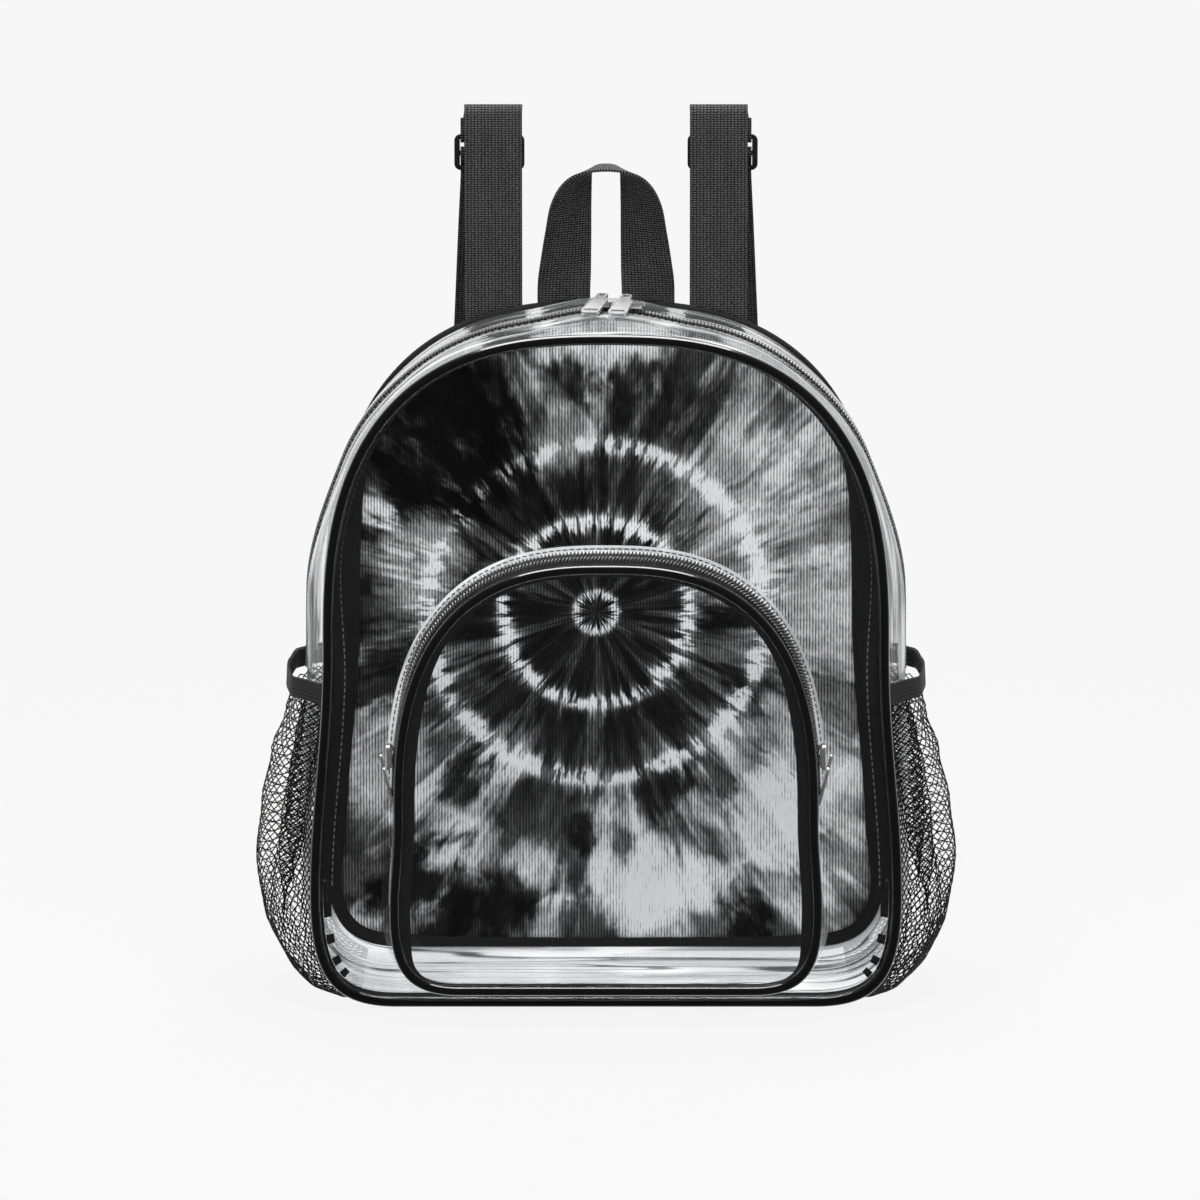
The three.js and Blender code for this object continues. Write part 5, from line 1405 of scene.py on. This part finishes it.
class BACKPACK_OT_zipper_pulls(bpy.types.Operator):
    """Metal sliders and their pull tabs"""
    bl_idname = "backpack.zipper_pulls"
    bl_label = "Sliders and pulls"

    def execute(self, context):
        joints = {j["child"]: j for j in frame["joints"]}
        for name, skew, inset in (("zipper_right", 12, 2.6), ("zipper_left", 17, -1.4),
                                  ("pocket_zipper_right", None, 0), ("pocket_zipper_left", None, 0)):
            where = slider_frame(joints[name + "_pull"])
            self.slider(name, where, skew, inset)
            self.pull(name, where)
        return {"FINISHED"}

    def slider(self, name, where, skew, inset):
        """The slider's plate with its two flanges, and the crown that the pull hangs from.

        On the main zipper the plate is turned by skew, in degrees, and moved by inset. On the
        pocket's, where skew is None, the coil runs the other way."""
        low = -7.3
        plate_z, flange_z, crown_z = low + 3.9, low + 3.0, (low + 4.4) * MM
        piece = start_cube(name + "_slider_body", (0, 0, plate_z), (12, 8.4, 1.5))
        round_edges(piece, 2.4, 4, lambda way, mid: abs(way.z) > 0.9)
        for y in (-3.7, 3.7):
            combine("UNION", piece, start_cube("flange", (0, y, flange_z), (9, 1.0, 1.6)))
        bpy.ops.object.select_all(action="DESELECT")
        bpy.ops.mesh.primitive_plane_add(size=1, location=(3.1 * MM, 0, crown_z))
        crown = bpy.context.active_object
        bpy.ops.object.mode_set(mode="EDIT")
        bpy.ops.mesh.select_all(action="SELECT")
        bpy.ops.transform.resize(value=(1.15 * MM, 2.3 * MM, 1))
        bpy.ops.mesh.spin(steps=14, angle=-math.pi, center=(0, 0, crown_z), axis=(0, 1, 0))
        bpy.ops.mesh.select_all(action="SELECT")
        bpy.ops.transform.resize(value=(1.15, 1, 1.05), center_override=(0, 0, crown_z))
        bpy.ops.mesh.select_all(action="SELECT")
        bpy.ops.mesh.normals_make_consistent(inside=False)
        bpy.ops.object.mode_set(mode="OBJECT")
        bpy.ops.object.transform_apply(location=True, rotation=True, scale=True)
        soften(piece, 0.4)
        if skew is None:
            turn = Matrix.Rotation(math.pi / 2, 4, "Z")
            seat(piece, where @ turn)
            seat(crown, where @ Matrix.Translation((0, 2.2 * MM, 0)) @ turn)
        else:
            turn = Matrix.Rotation(math.radians(skew), 4, "Z")
            seat(piece, where @ turn @ Matrix.Translation((inset * MM, 0, 0)))
            seat(crown, where)
        finished(piece, finish("metal"), replaces=[name + "_slider"])
        crown.name = name + "_crown"
        finished(crown, finish("metal"))

    def pull(self, name, where):
        """A flat tab with an eye round the crown and a slot near its tip."""
        long, wide, thick, neck = 23.0, 8.7, 1.3, 4.4
        piece = start_cube(name + "_pull_tab", (0, -(long + neck) / 2, 0), (wide, long - neck, thick))
        round_edges(piece, 2.6, 5, lambda way, mid: abs(way.z) > 0.9 and mid.y < -20)
        round_edges(piece, 2.4, 3, lambda way, mid: abs(way.z) > 0.9 and mid.y > -6)
        eye = start_cube("eye", (0, -1.9, 0), (5.2, 6.6, thick))
        round_edges(eye, 1.8, 4, lambda way, mid: abs(way.z) > 0.9 and mid.y > 0)
        combine("UNION", piece, eye)
        combine("DIFFERENCE", piece, start_cube("eye_hole", (0, -0.9, 0), (2.9, 3.2, 6)))
        combine("DIFFERENCE", piece, start_cube("slot", (0, -19.2, 0), (6.3, 1.9, 6)))
        soften(piece, 0.32)
        height_of_hinge = 5.7
        dip = math.asin(height_of_hinge / long)
        seat(piece, where @ Matrix.Rotation(dip, 4, "X"))
        finished(piece, finish("metal"), replaces=[name + "_pull"], body=name + "_pull")


class BACKPACK_OT_stitching(bpy.types.Operator):
    """Rows of stitches along the seams"""
    bl_idname = "backpack.stitching"
    bl_label = "Stitching"

    def execute(self, context):
        thread = finish("thread")
        s = np.linspace(0.34, 1.66, 900)
        grid = flange_grid(body_line, FRONT_Y, PIPING_RADIUS, 8, s, 6, FOLD)
        stitches("front_seam_stitches", [self.row(grid[:, 4] + [0, -0.55, 0], -1.0)], thread)
        s = np.linspace(POCKET_ZIPPER_SHARE, 2 - POCKET_ZIPPER_SHARE, 700)
        hem = pocket_gusset(s, np.full(700, -2.0)) + [0, -0.45, 0]
        stitches("pocket_hem_stitches", [self.row(hem, -1.0)], finish("black_thread"))
        rows = []
        s = np.linspace(ZIPPER_SHARE + 0.01, 2 - ZIPPER_SHARE - 0.01, 900)
        _, _, nx, nz = body_line.at(s)
        for off in (-TAPE_WIDTH + 3, TAPE_WIDTH + 1.2):
            path = gusset(s, np.full(900, ZIPPER_Y + off), 0.5)
            rows.append(stitch_row(path, np.stack([nx, np.zeros(900), nz], 1)))
        stitches("main_zipper_stitches", rows, thread)
        rows = []
        left, right, low, high = STRAP_X - 10.5, STRAP_X + 10.5, 266.0, 282.0
        y = SEWN_BACK_Y + 0.8
        for side in (1, -1):
            for x0, z0, x1, z1 in ((left, low, left, high), (right, low, right, high),
                                   (left, low, right, low), (left, high, right, high)):
                line = np.linspace((side * x0, y, z0), (side * x1, y, z1), 40)
                rows.append(self.row(line, 1.0))
        stitches("strap_stitches", rows, thread)
        return {"FINISHED"}

    def row(self, path, facing):
        """A row of stitches on a surface that faces the front (-1) or the back (1)."""
        return stitch_row(path, np.tile([0, facing, 0], (len(path), 1)))


# Lamps: name, place and width in metres, watts, and whether they show in reflections
LAMPS = (
    ("left", (-1.7, -2.2, 1.7), 1.3, 58, False),
    ("right", (1.7, -2.2, 1.7), 1.3, 58, False),
    ("top", (0.0, 0.1, 2.4), 1.7, 95, True),
    ("back", (0.4, 2.4, 1.6), 1.6, 26, False),
)
LAMP_AIM = Vector((0, 0, 0.18))


class BACKPACK_OT_stage(bpy.types.Operator):
    """Floor, soft studio light and the camera"""
    bl_idname = "backpack.stage"
    bl_label = "Stage"

    def execute(self, context):
        scene = context.scene
        scene.view_settings.view_transform = "Standard"
        self.floor()
        self.world(scene)
        for name, spot, size, watts, shines in LAMPS:
            light = bpy.data.lights.new(name, "AREA")
            light.energy = watts
            light.size = size
            lamp = bpy.data.objects.new(name, light)
            lamp.location = spot
            lamp.rotation_euler = (LAMP_AIM - Vector(spot)).to_track_quat("-Z", "Y").to_euler()
            lamp.visible_camera = False
            lamp.visible_glossy = shines
            scene.collection.objects.link(lamp)
        self.camera(scene)
        return {"FINISHED"}

    def floor(self):
        bpy.ops.object.select_all(action="DESELECT")
        bpy.ops.mesh.primitive_circle_add(
            vertices=96, radius=14, fill_type="NGON", location=(0, 0, -0.0004))
        floor = bpy.context.active_object
        floor.name = "floor"
        bpy.ops.object.transform_apply(location=True, rotation=True, scale=True)
        f = Finish("floor")
        _, x, y, _ = f.object_place()
        far = (x * x + y * y).math("SQRT").ramp(0.3, 1.2)
        pale = f.colour(colours().background)
        glow = f.node("ShaderNodeEmission", inputs={"Color": pale, "Strength": 1.0}).outputs[0]
        matte = f.node("ShaderNodeBsdfDiffuse", inputs={"Color": (0.52, 0.52, 0.52, 1)}).outputs[0]
        floor.data.materials.append(f.end(f.mixed(far * 0.05 + 0.95, matte, glow)))
        floor.visible_glossy = False

    def world(self, scene):
        """Pale to the eye, with brighter and darker parts for reflections."""
        f = Finish("studio", bpy.data.worlds.new("studio"))
        direction = f.node("ShaderNodeTexCoord").outputs["Generated"]
        back = Value(f, f.node("ShaderNodeSeparateXYZ", inputs={0: direction}).outputs[1])
        ramp = f.node("ShaderNodeValToRGB", inputs={0: back * 0.5 + 0.5})
        stops = ramp.color_ramp.elements
        first, last = stops[0], stops[1]
        first.position = 0.0
        first.color = (0.015, 0.015, 0.015, 1)
        last.position = 1.0
        last.color = (1.0, 1.0, 1.0, 1)
        for spot, level in ((0.5, 0.05), (0.62, 0.3), (0.8, 0.9)):
            stops.new(spot).color = (level, level, level, 1)
        cast = f.node("ShaderNodeBackground", inputs={0: ramp.outputs[0]}).outputs[0]
        seen = f.node("ShaderNodeBackground", inputs={0: f.colour(colours().background)}).outputs[0]
        to_camera = f.node("ShaderNodeLightPath").outputs["Is Camera Ray"]
        scene.world = f.end(f.mixed(to_camera, cast, seen), "ShaderNodeOutputWorld")

    def camera(self, scene):
        data = bpy.data.cameras.new("camera")
        data.lens, data.sensor_width = 235, 36
        data.shift_x = -0.005
        data.clip_end = 50
        camera = bpy.data.objects.new("camera", data)
        tilt = math.radians(9.7)
        aim = Vector((0, -0.0648, 0.1902))
        distance = 3.56
        camera.location = aim + distance * Vector((0, -math.cos(tilt), math.sin(tilt)))
        camera.rotation_euler = (aim - camera.location).to_track_quat("-Z", "Y").to_euler()
        scene.collection.objects.link(camera)
        scene.camera = camera


class BACKPACK_PT_panel(bpy.types.Panel):
    """Buttons and sizes for the backpack"""
    bl_idname = "BACKPACK_PT_panel"
    bl_label = "Clear Backpack"
    bl_space_type = "VIEW_3D"
    bl_region_type = "UI"
    bl_category = "Backpack"

    def draw(self, context):
        for step in STEPS:
            self.layout.operator(step.bl_idname)
        for group in (context.scene.backpack_sizes, context.scene.backpack_colours):
            for key in group.__annotations__:
                self.layout.prop(group, key)


STEPS = (BACKPACK_OT_stage, BACKPACK_OT_body, BACKPACK_OT_piping, BACKPACK_OT_main_zipper,
         BACKPACK_OT_front_pocket, BACKPACK_OT_side_pockets, BACKPACK_OT_straps, BACKPACK_OT_handle,
         BACKPACK_OT_buckles, BACKPACK_OT_zipper_pulls, BACKPACK_OT_stitching)
CLASSES = (BackpackSizes, BackpackColours, *STEPS, BACKPACK_PT_panel)


def register():
    for entry in CLASSES:
        bpy.utils.register_class(entry)
    bpy.types.Scene.backpack_sizes = bpy.props.PointerProperty(type=BackpackSizes)
    bpy.types.Scene.backpack_colours = bpy.props.PointerProperty(type=BackpackColours)


def unregister():
    del bpy.types.Scene.backpack_sizes
    del bpy.types.Scene.backpack_colours
    for entry in reversed(CLASSES):
        bpy.utils.unregister_class(entry)


def main():
    register()
    for step in STEPS:
        group, name = step.bl_idname.split(".")
        getattr(getattr(bpy.ops, group), name)()


if __name__ == "__main__":
    main()
